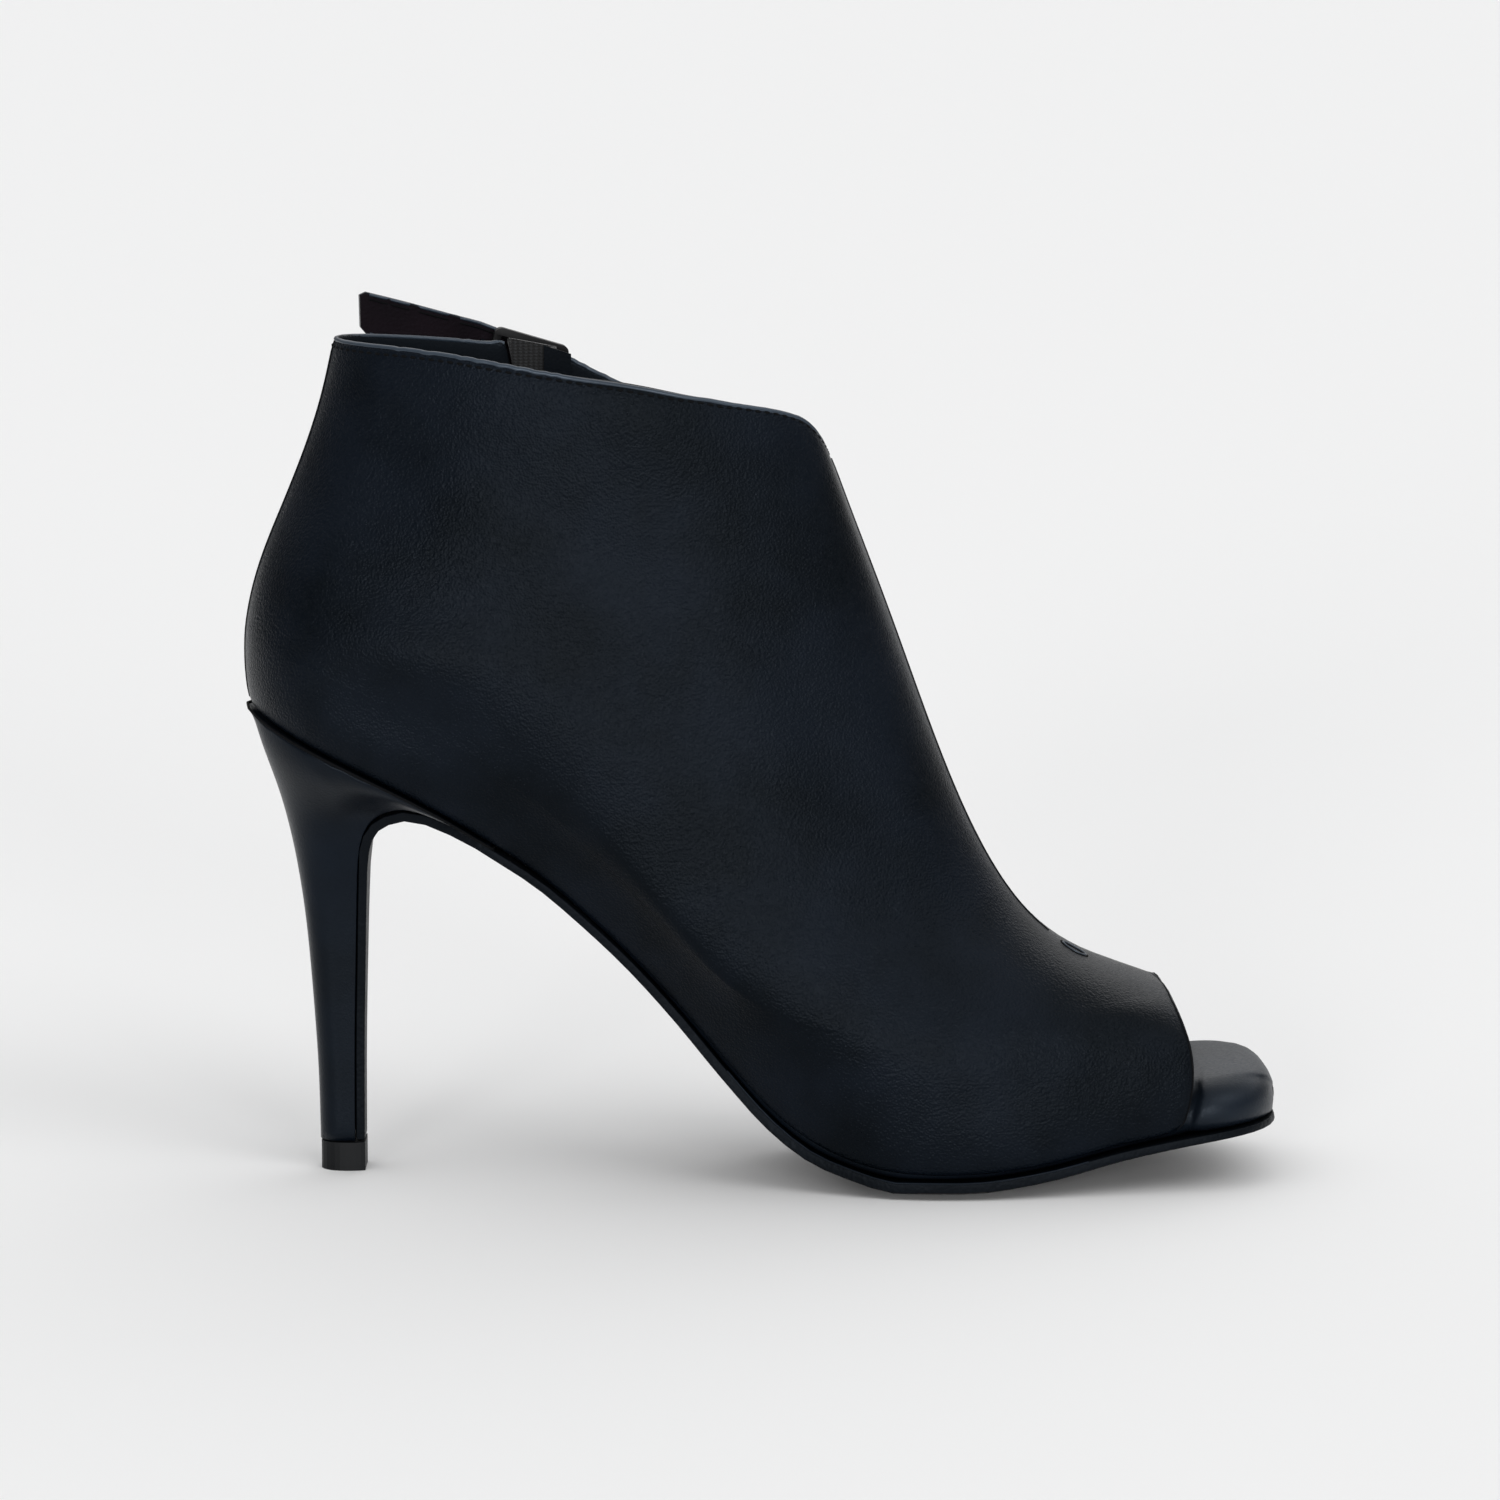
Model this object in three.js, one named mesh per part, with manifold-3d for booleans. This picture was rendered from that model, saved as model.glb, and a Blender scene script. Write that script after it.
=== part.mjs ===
// A peep toe ankle bootie on a stiletto heel, right foot, in millimetres.
// +X runs from heel to toe, +Y to the inner (medial) side, +Z up.
// The origin is the middle of the heel tip's face on the ground.
import * as THREE from 'three';
import { mergeVertices } from 'three/addons/utils/BufferGeometryUtils.js';
import Module from 'manifold-3d';

const wasm = await Module();
wasm.setup();

// Sole and last
const soleLength = 215;         // back of the seat to the tip of the toe, along the ground
const seatBehind = 19.6;        // back of the seat, behind the middle of the heel tip
const seatHeight = 98.6;        // top of the heel at the back of the seat
const archHeight = 75.7;        // underside of the sole where it turns down the heel
const toeSpring = 11.9;         // underside of the sole above the ground at the tip of the toe
const seatWidth = 48;
const waistWidth = 37;
const ballWidth = 71;
const seatRound = 34;           // length over which the heel end of the sole rounds
const toeWidth = 60;            // across the sole where the upper ends
const toeCorner = 18;           // length of the rounding at each corner of the square toe
const soleThickness = 2.2;      // at the ball, where it is thickest
const soleCamber = 1.5;         // how far the sole's edges rise beside the tread at the ball

// Heel
const tipDepth = 9.8;           // top piece, front to back
const tipWidth = 10.6;
const topPieceHeight = 6;
const topPieceSetback = 0.5;    // of its front face, behind the sole's
const breastDepth = 4.6;        // front of the heel, ahead of the middle of the heel tip
const breastWidth = 9;          // flat front of the heel, just above the top piece

// Upper
const wall = 1.8;               // leather and lining together
const collarBack = 175.8;       // height of the topline at the back seam
const collarFront = 152.6;      // height of the topline at the front, at the bottom of its dip
const instepReach = 101.4;      // front end of the topline, ahead of the heel tip
const vampReach = 172.3;        // top of the toe opening, ahead of the heel tip
const vampHeight = 39.8;        // of the upper there
const insoleToe = 8.9;          // padded insole where it shows at the toe
const insoleInside = 3.6;       // the same insole further back
const gap = 0.3;                // clearance between pieces that touch

// Slit, gusset, strap and buckle on the inner side
const slitAhead = 33.8;         // rear edge of the slit at the topline, ahead of the heel tip
const slitWidth = 10.8;         // at the topline
const slitFoot = 4.4;           // width of its rounded foot
const slitLength = 66;
const slitLean = 15;            // how far its foot lies ahead of its rear edge at the topline
const gussetThickness = 1.1;
const gussetDrop = 0.4;         // how far its top lies below the topline
const strapWidth = 8.8;
const strapThickness = 1.5;
const strapTail = 5.2;          // free end, ahead of the heel tip
const strapSeam = 76;           // sewn end, ahead of the heel tip
const strapRoot = 27;           // behind it the strap stands off straight
const strapFlare = 7.2;         // how far the free end stands off that straight line
const buckleLength = 16.6;
const buckleBar = 1.6;
const buckleRoom = 1.4;         // between the strap's edge and the buckle's side bar
const buckleAhead = 37.6;       // middle of the buckle, ahead of the heel tip
const buckleBelow = 6.3;        // and below the topline
const buckleTilt = 18;          // degrees that the buckle slopes down towards the toe
const tabThickness = 0.8;
const tabLength = 14;
const tabWidth = 7;
const tabTilt = 8;              // degrees that the tab slopes down towards the toe

const seatBack = -seatBehind;
const toeTip = soleLength - seatBehind;

// Smooth curve through a table: the value of one column at a place along another
function through(rows, alongKey, valueKey) {
  const places = rows.map((row) => row[alongKey]);
  const values = rows.map((row) => row[valueKey]);
  const curve = new THREE.CubicInterpolant(places, values, 1);
  const first = places[0];
  const last = places[places.length - 1];
  return (at) => curve.evaluate(Math.min(last, Math.max(first, at)))[0];
}

// 1 along the middle of a form, falling to 0 at its end over a rounded length
function roundedEnd(distance, length, power) {
  const inside = Math.min(1, Math.max(0, distance / length));
  return (1 - (1 - inside) ** 3) ** (1 / power);
}

// Outline of the sole, seen from above: shares of the length, and of the width named in each row
const outlineRows = [
  { along: 0.00, size: seatWidth, lateral: 0.485, medial: 0.485 },
  { along: 0.13, size: seatWidth, lateral: 0.500, medial: 0.500 },
  { along: 0.25, size: seatWidth, lateral: 0.470, medial: 0.440 },
  { along: 0.38, size: waistWidth, lateral: 0.560, medial: 0.440 },
  { along: 0.46, size: waistWidth, lateral: 0.640, medial: 0.460 },
  { along: 0.54, size: ballWidth, lateral: 0.405, medial: 0.320 },
  { along: 0.64, size: ballWidth, lateral: 0.492, medial: 0.455 },
  { along: 0.72, size: ballWidth, lateral: 0.493, medial: 0.507 },
  { along: 0.80, size: ballWidth, lateral: 0.452, medial: 0.512 },
  { along: 0.89, size: toeWidth, lateral: 0.460, medial: 0.545 },
  { along: 1.00, size: toeWidth, lateral: 0.375, medial: 0.455 },
];
for (const row of outlineRows) {
  row.lateralReach = row.size * row.lateral;
  row.medialReach = row.size * row.medial;
}
const outlineCurves = {
  lateral: through(outlineRows, 'along', 'lateralReach'),
  medial: through(outlineRows, 'along', 'medialReach'),
};

// Half-width of the sole's outline beside the middle line, without the rounding of its ends
function outlineReach(x, side) {
  return outlineCurves[side]((x - seatBack) / soleLength);
}

// The same with its ends, on the outline or on a line set in from it
const seatPower = 2.05;
const toePower = 2.8;
function soleReach(x, side, inset = 0) {
  const heelEnd = roundedEnd(x - seatBack - inset, seatRound - inset, seatPower);
  const toeEnd = roundedEnd(toeTip - x - inset, toeCorner - inset, toePower);
  return (outlineReach(x, side) - inset) * heelEnd * toeEnd;
}

// Underside of the sole along the middle line, from toe to heel: the toe spring, then the arch
const springRows = [
  { along: 1.00, rise: 1.00 },
  { along: 0.955, rise: 0.87 },
  { along: 0.90, rise: 0.705 },
  { along: 0.84, rise: 0.492 },
  { along: 0.785, rise: 0.235 },
  { along: 0.740, rise: 0.085 },
];
const treadRows = [
  { along: 0.700, rise: 0 },
  { along: 0.625, rise: 0 },
];
const archRows = [
  { along: 0.585, rise: 0.030 },
  { along: 0.545, rise: 0.075 },
  { along: 0.505, rise: 0.160 },
  { along: 0.460, rise: 0.300 },
  { along: 0.415, rise: 0.455 },
  { along: 0.370, rise: 0.598 },
  { along: 0.325, rise: 0.724 },
  { along: 0.280, rise: 0.837 },
  { along: 0.235, rise: 0.922 },
  { along: 0.195, rise: 0.976, halfWidth: 4.10 },
  { along: 0.157, rise: 1.000, halfWidth: 3.10 },
];
// Front of the heel, from the fillet down to the top piece: shares of the arch height, how far
// the sole's outer face lies ahead of the heel tip's middle, as shares of the breast depth, and
// the sole's half-width there, as shares of half the breast width
const breastRows = [
  { rise: 0.965, ahead: 1.72, halfWidth: 2.45 },
  { rise: 0.90, ahead: 1.28, halfWidth: 1.85 },
  { rise: 0.80, ahead: 1.16, halfWidth: 1.47 },
  { rise: 0.60, ahead: 1.06, halfWidth: 1.17 },
  { rise: 0.35, ahead: 0.97, halfWidth: 1.03 },
  { rise: 0.086, ahead: 0.94, halfWidth: 0.98 },
];

// Thickness of the sole: shares of its thickness at the ball. It thins at the toe and the arch
const thicknessRows = [
  { along: 0.15, share: 0.80 },
  { along: 0.25, share: 0.75 },
  { along: 0.40, share: 0.84 },
  { along: 0.55, share: 0.96 },
  { along: 0.68, share: 1.00 },
  { along: 0.84, share: 0.84 },
  { along: 1.00, share: 0.64 },
];
const thicknessCurve = through(thicknessRows, 'along', 'share');

function alongPoint(along, height) {
  return new THREE.Vector3(seatBack + along * soleLength, 0, height);
}

const solePoints = [
  ...springRows.map((row) => alongPoint(row.along, row.rise * toeSpring)),
  ...treadRows.map((row) => alongPoint(row.along, 0)),
  ...archRows.map((row) => alongPoint(row.along, row.rise * archHeight)),
  ...breastRows.map((row) => new THREE.Vector3(row.ahead * breastDepth, 0, row.rise * archHeight)),
];
const soleLine = new THREE.CatmullRomCurve3(solePoints, false, 'centripetal');
soleLine.arcLengthDivisions = 800;

// One station of the sole line: its place, no lower than the flat tread on the ground, and the
// direction from the underside to the upper face
function soleStation(share) {
  const place = soleLine.getPointAt(share);
  place.z = Math.max(0, place.z);
  const along = soleLine.getTangentAt(share);
  const inward = new THREE.Vector3(along.z, 0, -along.x);
  const thickness = soleThickness * thicknessCurve((place.x - seatBack) / soleLength);
  return { share, place, inward, thickness };
}
const soleDivisions = 400;
const soleStations = [];
for (let i = 0; i <= soleDivisions; i += 1) {
  soleStations.push(soleStation(i / soleDivisions));
}
const turnPlace = alongPoint(archRows[archRows.length - 1].along, 0);
const turnShare = soleStations.find((station) => station.place.x < turnPlace.x).share;

// Value z of a line at a place x, from its points in order of x
function heightAlong(points, x) {
  let i = 1;
  while (i < points.length - 1 && points[i].x < x) i += 1;
  const low = points[i - 1];
  const high = points[i];
  return low.z + ((x - low.x) / (high.x - low.x)) * (high.z - low.z);
}
const soleTopLine = soleStations
  .filter((station) => station.share < turnShare)
  .map((station) => station.place.clone().addScaledVector(station.inward, station.thickness))
  .reverse();
const soleTopHeight = (x) => heightAlong(soleTopLine, x);

// Rise of the sole's edges beside the middle line, along the foot
const camberRows = [
  { along: 0.25, share: 0 },
  { along: 0.40, share: 0.30 },
  { along: 0.55, share: 0.75 },
  { along: 0.66, share: 1.00 },
  { along: 0.80, share: 0.85 },
  { along: 1.00, share: 0.45 },
];
const camberCurve = through(camberRows, 'along', 'share');
const flatShare = 0.36;         // middle part of the sole's width that is flat
function camberAt(x, y) {
  const across = Math.abs(y) / outlineReach(x, y < 0 ? 'lateral' : 'medial');
  const beside = Math.max(0, across - flatShare) / (1 - flatShare);
  return soleCamber * camberCurve((x - seatBack) / soleLength) * beside ** 2;
}

// The seat: the line on which the upper stands over the heel, from the back to where the heel runs out
const seatFront = alongPoint(0.25, 0).x;
const seatRows = [
  { along: 0.00, rise: 1.00 },
  { along: 0.18, rise: 0.82 },
  { along: 0.45, rise: 0.577 },
  { along: 0.72, rise: 0.318 },
  { along: 1.00, rise: 0.00 },
];
const seatCurve = through(seatRows, 'along', 'rise');
const seatEndHeight = soleTopHeight(seatFront) + gap;

// Height of the surface under the upper and the insole. Just ahead of the seat it comes down
// from the heel's end to the sole over a short length
const seatFade = 10;
function floorHeight(x) {
  if (x >= seatFront) {
    return soleTopHeight(x) + gap * (1 - THREE.MathUtils.smoothstep(x, seatFront, seatFront + seatFade));
  }
  const share = Math.max(0, x - seatBack) / (seatFront - seatBack);
  return seatEndHeight + (seatHeight - seatEndHeight) * seatCurve(share);
}

// Back of the upper, from the seat to the topline: shares of the rise, and of the seat's place
const backRows = [
  { rise: 0.00, behind: 1.000 },
  { rise: 0.10, behind: 1.043 },
  { rise: 0.25, behind: 1.017 },
  { rise: 0.40, behind: 0.863 },
  { rise: 0.55, behind: 0.617 },
  { rise: 0.70, behind: 0.380 },
  { rise: 0.85, behind: 0.186 },
  { rise: 1.00, behind: 0.064 },
];
// Front of the upper, from the nose of the last over the vamp and up the instep.
// The nose rows are shares of the sole's reach and the vamp's height, the vamp and instep rows
// run from the toe opening (0) to the topline (1)
const noseRows = [
  { ahead: 1.000, rise: 0.36 },
  { ahead: 0.996, rise: 0.60 },
  { ahead: 0.972, rise: 0.81 },
  { ahead: 0.932, rise: 0.935 },
];
const instepRows = [
  { back: 0.000, rise: 0.000 },
  { back: 0.193, rise: 0.041 },
  { back: 0.288, rise: 0.065 },
  { back: 0.358, rise: 0.092 },
  { back: 0.420, rise: 0.132 },
  { back: 0.506, rise: 0.212 },
  { back: 0.594, rise: 0.321 },
  { back: 0.690, rise: 0.472 },
  { back: 0.776, rise: 0.623 },
  { back: 0.859, rise: 0.766 },
  { back: 0.934, rise: 0.878 },
  { back: 0.970, rise: 0.938 },
  { back: 1.000, rise: 1.000 },
];
// Topline on each side, from the back seam to the front: shares of its reach and of its fall
const collarRows = {
  lateral: [
    { along: 0.00, fall: 0.00 },
    { along: 0.23, fall: 0.073 },
    { along: 0.42, fall: 0.200 },
    { along: 0.62, fall: 0.345 },
    { along: 0.80, fall: 0.480 },
    { along: 0.92, fall: 0.583 },
    { along: 0.96, fall: 0.660 },
    { along: 0.985, fall: 0.800 },
    { along: 1.00, fall: 1.00 },
  ],
  medial: [
    { along: 0.00, fall: 0.00 },
    { along: 0.23, fall: 0.100 },
    { along: 0.35, fall: 0.160 },
    { along: 0.45, fall: 0.250 },
    { along: 0.58, fall: 0.510 },
    { along: 0.70, fall: 0.700 },
    { along: 0.82, fall: 0.810 },
    { along: 0.93, fall: 0.880 },
    { along: 1.00, fall: 1.00 },
  ],
};

const collarRear = seatBack * backRows[backRows.length - 1].behind;
const footing = (x) => floorHeight(x) + gap;
const backCurve = new THREE.CatmullRomCurve3(
  backRows.map((row) => new THREE.Vector3(
    seatBack * row.behind, 0, footing(seatBack) + row.rise * (collarBack - footing(seatBack)))),
  false, 'centripetal');
const frontCurve = new THREE.CatmullRomCurve3([
  ...noseRows.map((row) => new THREE.Vector3(toeTip * row.ahead, 0, vampHeight * row.rise)),
  ...instepRows.map((row) => new THREE.Vector3(
    vampReach - row.back * (vampReach - instepReach), 0,
    vampHeight + row.rise * (collarFront - vampHeight))),
], false, 'centripetal');
const collarCurves = {};
for (const side of ['lateral', 'medial']) {
  collarCurves[side] = new THREE.CatmullRomCurve3(
    collarRows[side].map((row) => new THREE.Vector3(
      collarRear + row.along * (instepReach - collarRear), 0,
      collarBack - row.fall * (collarBack - collarFront))),
    false, 'centripetal');
}

// Rings of the last, from the sole's edge (0) to the topline (1). The first columns are the
// half-widths at the seat, waist, ball and toe on the outer and the inner side, front and back
// are the lengths over which the ring rounds at its ends, all as shares of the ball's width;
// power is how square the front is, and sole is how much of the sole's own outline is left
const ringRows = [
  { level: 0.00, seatOut: 0.331, waistOut: 0.288, ballOut: 0.486, toeOut: 0.385,
    seatIn: 0.331, waistIn: 0.226, ballIn: 0.449, toeIn: 0.455,
    front: 0.25, power: 3.2, back: 0.48, sole: 1.0 },
  { level: 0.04, seatOut: 0.353, waistOut: 0.322, ballOut: 0.505, toeOut: 0.398,
    seatIn: 0.353, waistIn: 0.268, ballIn: 0.472, toeIn: 0.468,
    front: 0.27, power: 3.0, back: 0.49, sole: 0.95 },
  { level: 0.10, seatOut: 0.372, waistOut: 0.365, ballOut: 0.512, toeOut: 0.400,
    seatIn: 0.372, waistIn: 0.330, ballIn: 0.486, toeIn: 0.462,
    front: 0.36, power: 2.7, back: 0.51, sole: 0.85 },
  { level: 0.20, seatOut: 0.386, waistOut: 0.412, ballOut: 0.507, toeOut: 0.392,
    seatIn: 0.386, waistIn: 0.395, ballIn: 0.488, toeIn: 0.440,
    front: 0.68, power: 2.35, back: 0.55, sole: 0.60 },
  { level: 0.35, seatOut: 0.380, waistOut: 0.440, ballOut: 0.475, toeOut: 0.385,
    seatIn: 0.380, waistIn: 0.430, ballIn: 0.468, toeIn: 0.405,
    front: 1.05, power: 2.1, back: 0.60, sole: 0.25 },
  { level: 0.50, seatOut: 0.362, waistOut: 0.440, ballOut: 0.440, toeOut: 0.375,
    seatIn: 0.362, waistIn: 0.432, ballIn: 0.438, toeIn: 0.380,
    front: 1.12, power: 2.0, back: 0.66, sole: 0.08 },
  { level: 0.70, seatOut: 0.335, waistOut: 0.412, ballOut: 0.405, toeOut: 0.350,
    seatIn: 0.335, waistIn: 0.408, ballIn: 0.402, toeIn: 0.350,
    front: 0.98, power: 2.0, back: 0.76, sole: 0 },
  { level: 1.00, seatOut: 0.322, waistOut: 0.372, ballOut: 0.375, toeOut: 0.335,
    seatIn: 0.322, waistIn: 0.372, ballIn: 0.375, toeIn: 0.335,
    front: 0.76, power: 2.0, back: 0.86, sole: 0 },
];
const reachPlaces = { seat: 0.12, waist: 0.38, ball: 0.64, toe: 0.88 };
const ringColumns = Object.keys(ringRows[0]).filter((key) => key !== 'level');
const ringCurves = {};
for (const column of ringColumns) {
  ringCurves[column] = through(ringRows, 'level', column);
}
const sideEnding = { lateral: 'Out', medial: 'In' };

// The sole's outline, less a plain curve through its reach at the four places of the ring table
const outlineDetail = {};
for (const side of ['lateral', 'medial']) {
  const rows = Object.values(reachPlaces).map((along) => (
    { along, reach: outlineReach(seatBack + along * soleLength, side) }));
  const plain = through(rows, 'along', 'reach');
  outlineDetail[side] = (along) => outlineReach(seatBack + along * soleLength, side) - plain(along);
}

// One ring of the upper's outer face at a level between the sole's edge and the topline
function ringAt(level) {
  const back = backCurve.getPointAt(level);
  const front = frontCurve.getPointAt(level);
  const length = back.distanceTo(front);
  const ring = { level, back, front, length };
  for (const side of ['lateral', 'medial']) {
    const rows = Object.entries(reachPlaces).map(([name, along]) => (
      { along, reach: ballWidth * ringCurves[name + sideEnding[side]](level) }));
    ring[side] = through(rows, 'along', 'reach');
  }
  ring.frontRound = ballWidth * ringCurves.front(level);
  ring.backRound = ballWidth * ringCurves.back(level);
  ring.power = ringCurves.power(level);
  ring.sole = ringCurves.sole(level);
  return ring;
}

// Corners of the upper's side view
const heelCorner = backCurve.getPoint(0);
const noseCorner = frontCurve.getPoint(0);
const rearCorner = backCurve.getPoint(1);
const tongueCorner = frontCurve.getPoint(1);

// Point of the outer face at a share of the way from back to front of a ring
function ringPoint(ring, along, side) {
  const level = ring.level;
  const footX = seatBack + along * soleLength;
  const edge = side === 'lateral' ? -outlineReach(footX, side) : outlineReach(footX, side);
  const foot = new THREE.Vector3(footX, 0, footing(footX) + camberAt(footX, edge));
  const collar = collarCurves[side].getPointAt(along);
  const point = new THREE.Vector3()
    .addScaledVector(foot, 1 - level).addScaledVector(collar, level)
    .addScaledVector(ring.back, 1 - along).addScaledVector(ring.front, along)
    .addScaledVector(heelCorner, -(1 - level) * (1 - along))
    .addScaledVector(noseCorner, -(1 - level) * along)
    .addScaledVector(rearCorner, -level * (1 - along))
    .addScaledVector(tongueCorner, -level * along);
  const reach = (ring[side](along) + ring.sole * outlineDetail[side](along))
    * roundedEnd(along * ring.length, ring.backRound, seatPower)
    * roundedEnd((1 - along) * ring.length, ring.frontRound, ring.power);
  point.y = side === 'lateral' ? -reach : reach;
  return point;
}

// The edge of the toe opening, from its top down to the sole, in the side view: how far ahead of
// the top it lies, and its height in shares of the vamp's. The line holds the height as x and
// the place along the foot as z
const openingRows = [
  { ahead: 0.6, rise: 1.30 },
  { ahead: 0.6, rise: 1.06 },
  { ahead: 1.5, rise: 1.03 },
  { ahead: 2.6, rise: 0.97 },
  { ahead: 4.4, rise: 0.88 },
  { ahead: 5.7, rise: 0.79 },
  { ahead: 6.5, rise: 0.62 },
  { ahead: 5.9, rise: 0.47 },
  { ahead: 4.4, rise: 0.34 },
  { ahead: 3.2, rise: 0.15 },
];
const openingSkew = 0.06;       // how far the edge falls back for each millimetre inwards
const openingSteps = 40;
const openingLine = new THREE.CatmullRomCurve3(
  openingRows.map((row) => new THREE.Vector3(vampHeight * row.rise, 0, vampReach + row.ahead)),
  false, 'centripetal').getPoints(openingSteps).reverse();
const openingFront = vampReach + Math.max(...openingRows.map((row) => row.ahead));
const openingPlace = (y, z) => (
  heightAlong(openingLine, z) - openingSkew * (y + toeWidth / 2));
const aheadOfOpening = (point) => point.x - openingPlace(point.y, point.z);

// The share between a place behind the opening's edge and one ahead of it where a point meets
// it, by halving
const halvings = 40;
function whereItOpens(from, to, pointAt) {
  let behind = from;
  let ahead = to;
  for (let i = 0; i < halvings; i += 1) {
    const middle = (behind + ahead) / 2;
    if (aheadOfOpening(pointAt(middle)) > 0) ahead = middle;
    else behind = middle;
  }
  return ahead;
}
const openingLevel = whereItOpens(1, 0, (level) => frontCurve.getPointAt(level));

// Half a ring from the back to the front, or to the toe opening, resampled to even steps
const ringDivisions = 240;
function halfRing(ring, side, steps) {
  const end = ring.level < openingLevel
    ? whereItOpens(0.5, 1, (along) => ringPoint(ring, along, side)) : 1;
  const dense = [];
  for (let i = 0; i <= ringDivisions; i += 1) {
    const along = (end * (1 - Math.cos((Math.PI * i) / ringDivisions))) / 2;
    dense.push(ringPoint(ring, along, side));
  }
  const travelled = [0];
  for (let i = 1; i < dense.length; i += 1) {
    travelled.push(travelled[i - 1] + dense[i].distanceTo(dense[i - 1]));
  }
  const total = travelled[travelled.length - 1];
  const points = [];
  let next = 0;
  for (let i = 0; i <= steps; i += 1) {
    const target = (total * i) / steps;
    while (next < dense.length - 2 && travelled[next + 1] < target) next += 1;
    const share = (target - travelled[next]) / (travelled[next + 1] - travelled[next]);
    points.push(dense[next].clone().lerp(dense[next + 1], share));
  }
  return points;
}

// Levels of the upper's rows. Those below the top of the toe opening crowd towards it, where its
// edge crosses the vamp
const openRows = 8;
const closedLevels = [0.06, 0.13, 0.21, 0.30, 0.40, 0.51, 0.62, 0.73, 0.84, 0.94, 1];
const faceLevels = [];
for (let j = 0; j <= openRows; j += 1) {
  faceLevels.push(openingLevel * (1 - (1 - j / openRows) ** 2));
}
faceLevels.push(...closedLevels.map((share) => openingLevel + (1 - openingLevel) * share));
const faceSteps = 33;

// The outer face as rows of points around: back, outer side, front, inner side. The last point of
// the outer side and the first of the inner side are the two edges of the toe opening, and one
// point above it
function outerFace() {
  return faceLevels.map((level) => {
    const ring = ringAt(level);
    return [
      ...halfRing(ring, 'lateral', faceSteps),
      ...halfRing(ring, 'medial', faceSteps).slice(1).reverse(),
    ];
  });
}

// The same face moved inwards along its normals. The bottom row moves level, so that the wall
// stands flat on the sole
function offsetFace(face, depth) {
  const count = face[0].length;
  const openRow = (j) => j < openRows;
  return face.map((row, j) => row.map((point, i) => {
    let after = (i + 1) % count;
    let before = (i + count - 1) % count;
    if (i === faceSteps) after = openRow(j) ? i : i + 2;
    if (i === faceSteps + 1) before = openRow(j) ? i : i - 2;
    const around = row[after].clone().sub(row[before]);
    const atEdge = i === faceSteps || i === faceSteps + 1;
    const below = face[j === 0 || (j === openRows && atEdge) ? j : j - 1][i];
    const above = face[Math.min(face.length - 1, j + 1)][i];
    const normal = above.clone().sub(below).cross(around);
    if (j === 0) normal.z = 0;
    normal.normalize();
    return point.clone().addScaledVector(normal, depth);
  }));
}

// Faces between rows of points, each row a closed loop that may be left open after one column
function tubeFaces(positions, rows, openAfter = -1) {
  const index = [];
  const first = positions.length / 3;
  for (const row of rows) for (const point of row) positions.push(point.x, point.y, point.z);
  const count = rows[0].length;
  for (let j = 0; j < rows.length - 1; j += 1) {
    for (let i = 0; i < count; i += 1) {
      if (i === openAfter) continue;
      const a = first + j * count + i;
      const b = first + j * count + ((i + 1) % count);
      const c = a + count;
      const d = b + count;
      index.push(a, b, c, b, d, c);
    }
  }
  return index;
}

function meshGeometry(positions, index) {
  const geometry = new THREE.BufferGeometry();
  geometry.setAttribute('position', new THREE.Float32BufferAttribute(positions, 3));
  geometry.setIndex(index);
  return geometry;
}

// A wall between an outer and an inner face, closed along its bottom and top edges and along
// both edges of the toe opening
function wallGeometry(outer, inner) {
  const positions = [];
  const loop = [...outer, ...[...inner].reverse(), outer[0]];
  const index = tubeFaces(positions, loop, faceSteps);
  const count = outer[0].length;
  const rows = outer.length;
  for (let j = 0; j < openRows; j += 1) {
    for (const column of [faceSteps, faceSteps + 1]) {
      const low = j * count + column;
      const high = low + count;
      const lowIn = (2 * rows - 1 - j) * count + column;
      const highIn = lowIn - count;
      if (column === faceSteps) index.push(high, low, lowIn, high, lowIn, highIn);
      else index.push(low, high, lowIn, high, highIn, lowIn);
    }
  }
  return closedGeometry(positions, index);
}

// Merges points that coincide and drops the faces that this leaves without an area
function closedGeometry(positions, index) {
  const merged = mergeVertices(meshGeometry(positions, index), 1e-4);
  const kept = [];
  const corners = merged.index.array;
  for (let i = 0; i < corners.length; i += 3) {
    const [a, b, c] = corners.slice(i, i + 3);
    if (a !== b && b !== c && c !== a) kept.push(a, b, c);
  }
  merged.setIndex(kept);
  return merged;
}

// A solid lofted through rows of points, closed at both ends by a fan or by rungs across
function loftGeometry(rows) {
  const positions = [];
  const index = tubeFaces(positions, rows);
  const count = rows[0].length;
  const last = (rows.length - 1) * count;
  for (let i = 0; i < count / 2; i += 1) {
    const a = i;
    const b = i + 1;
    const c = (count - i) % count;
    const d = count - i - 1;
    if (c !== a) index.push(a, c, b);
    if (d !== b) index.push(c === a ? a : c, d, b);
    if (c !== a) index.push(last + a, last + b, last + c);
    if (d !== b) index.push(last + (c === a ? a : c), last + b, last + d);
  }
  return meshGeometry(positions, index);
}

// A solid lofted through open-ended sections, each a closed loop, with flat ends
function sectionLoft(rows) {
  const positions = [];
  const index = tubeFaces(positions, rows);
  const count = rows[0].length;
  const last = (rows.length - 1) * count;
  for (let i = 0; i < count / 2 - 1; i += 1) {
    const a = i;
    const b = i + 1;
    const c = count - 1 - i;
    const d = count - 2 - i;
    index.push(a, c, b);
    index.push(last + a, last + b, last + c);
    if (b !== d) {
      index.push(b, c, d);
      index.push(last + b, last + d, last + c);
    }
  }
  return meshGeometry(positions, index);
}

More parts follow.
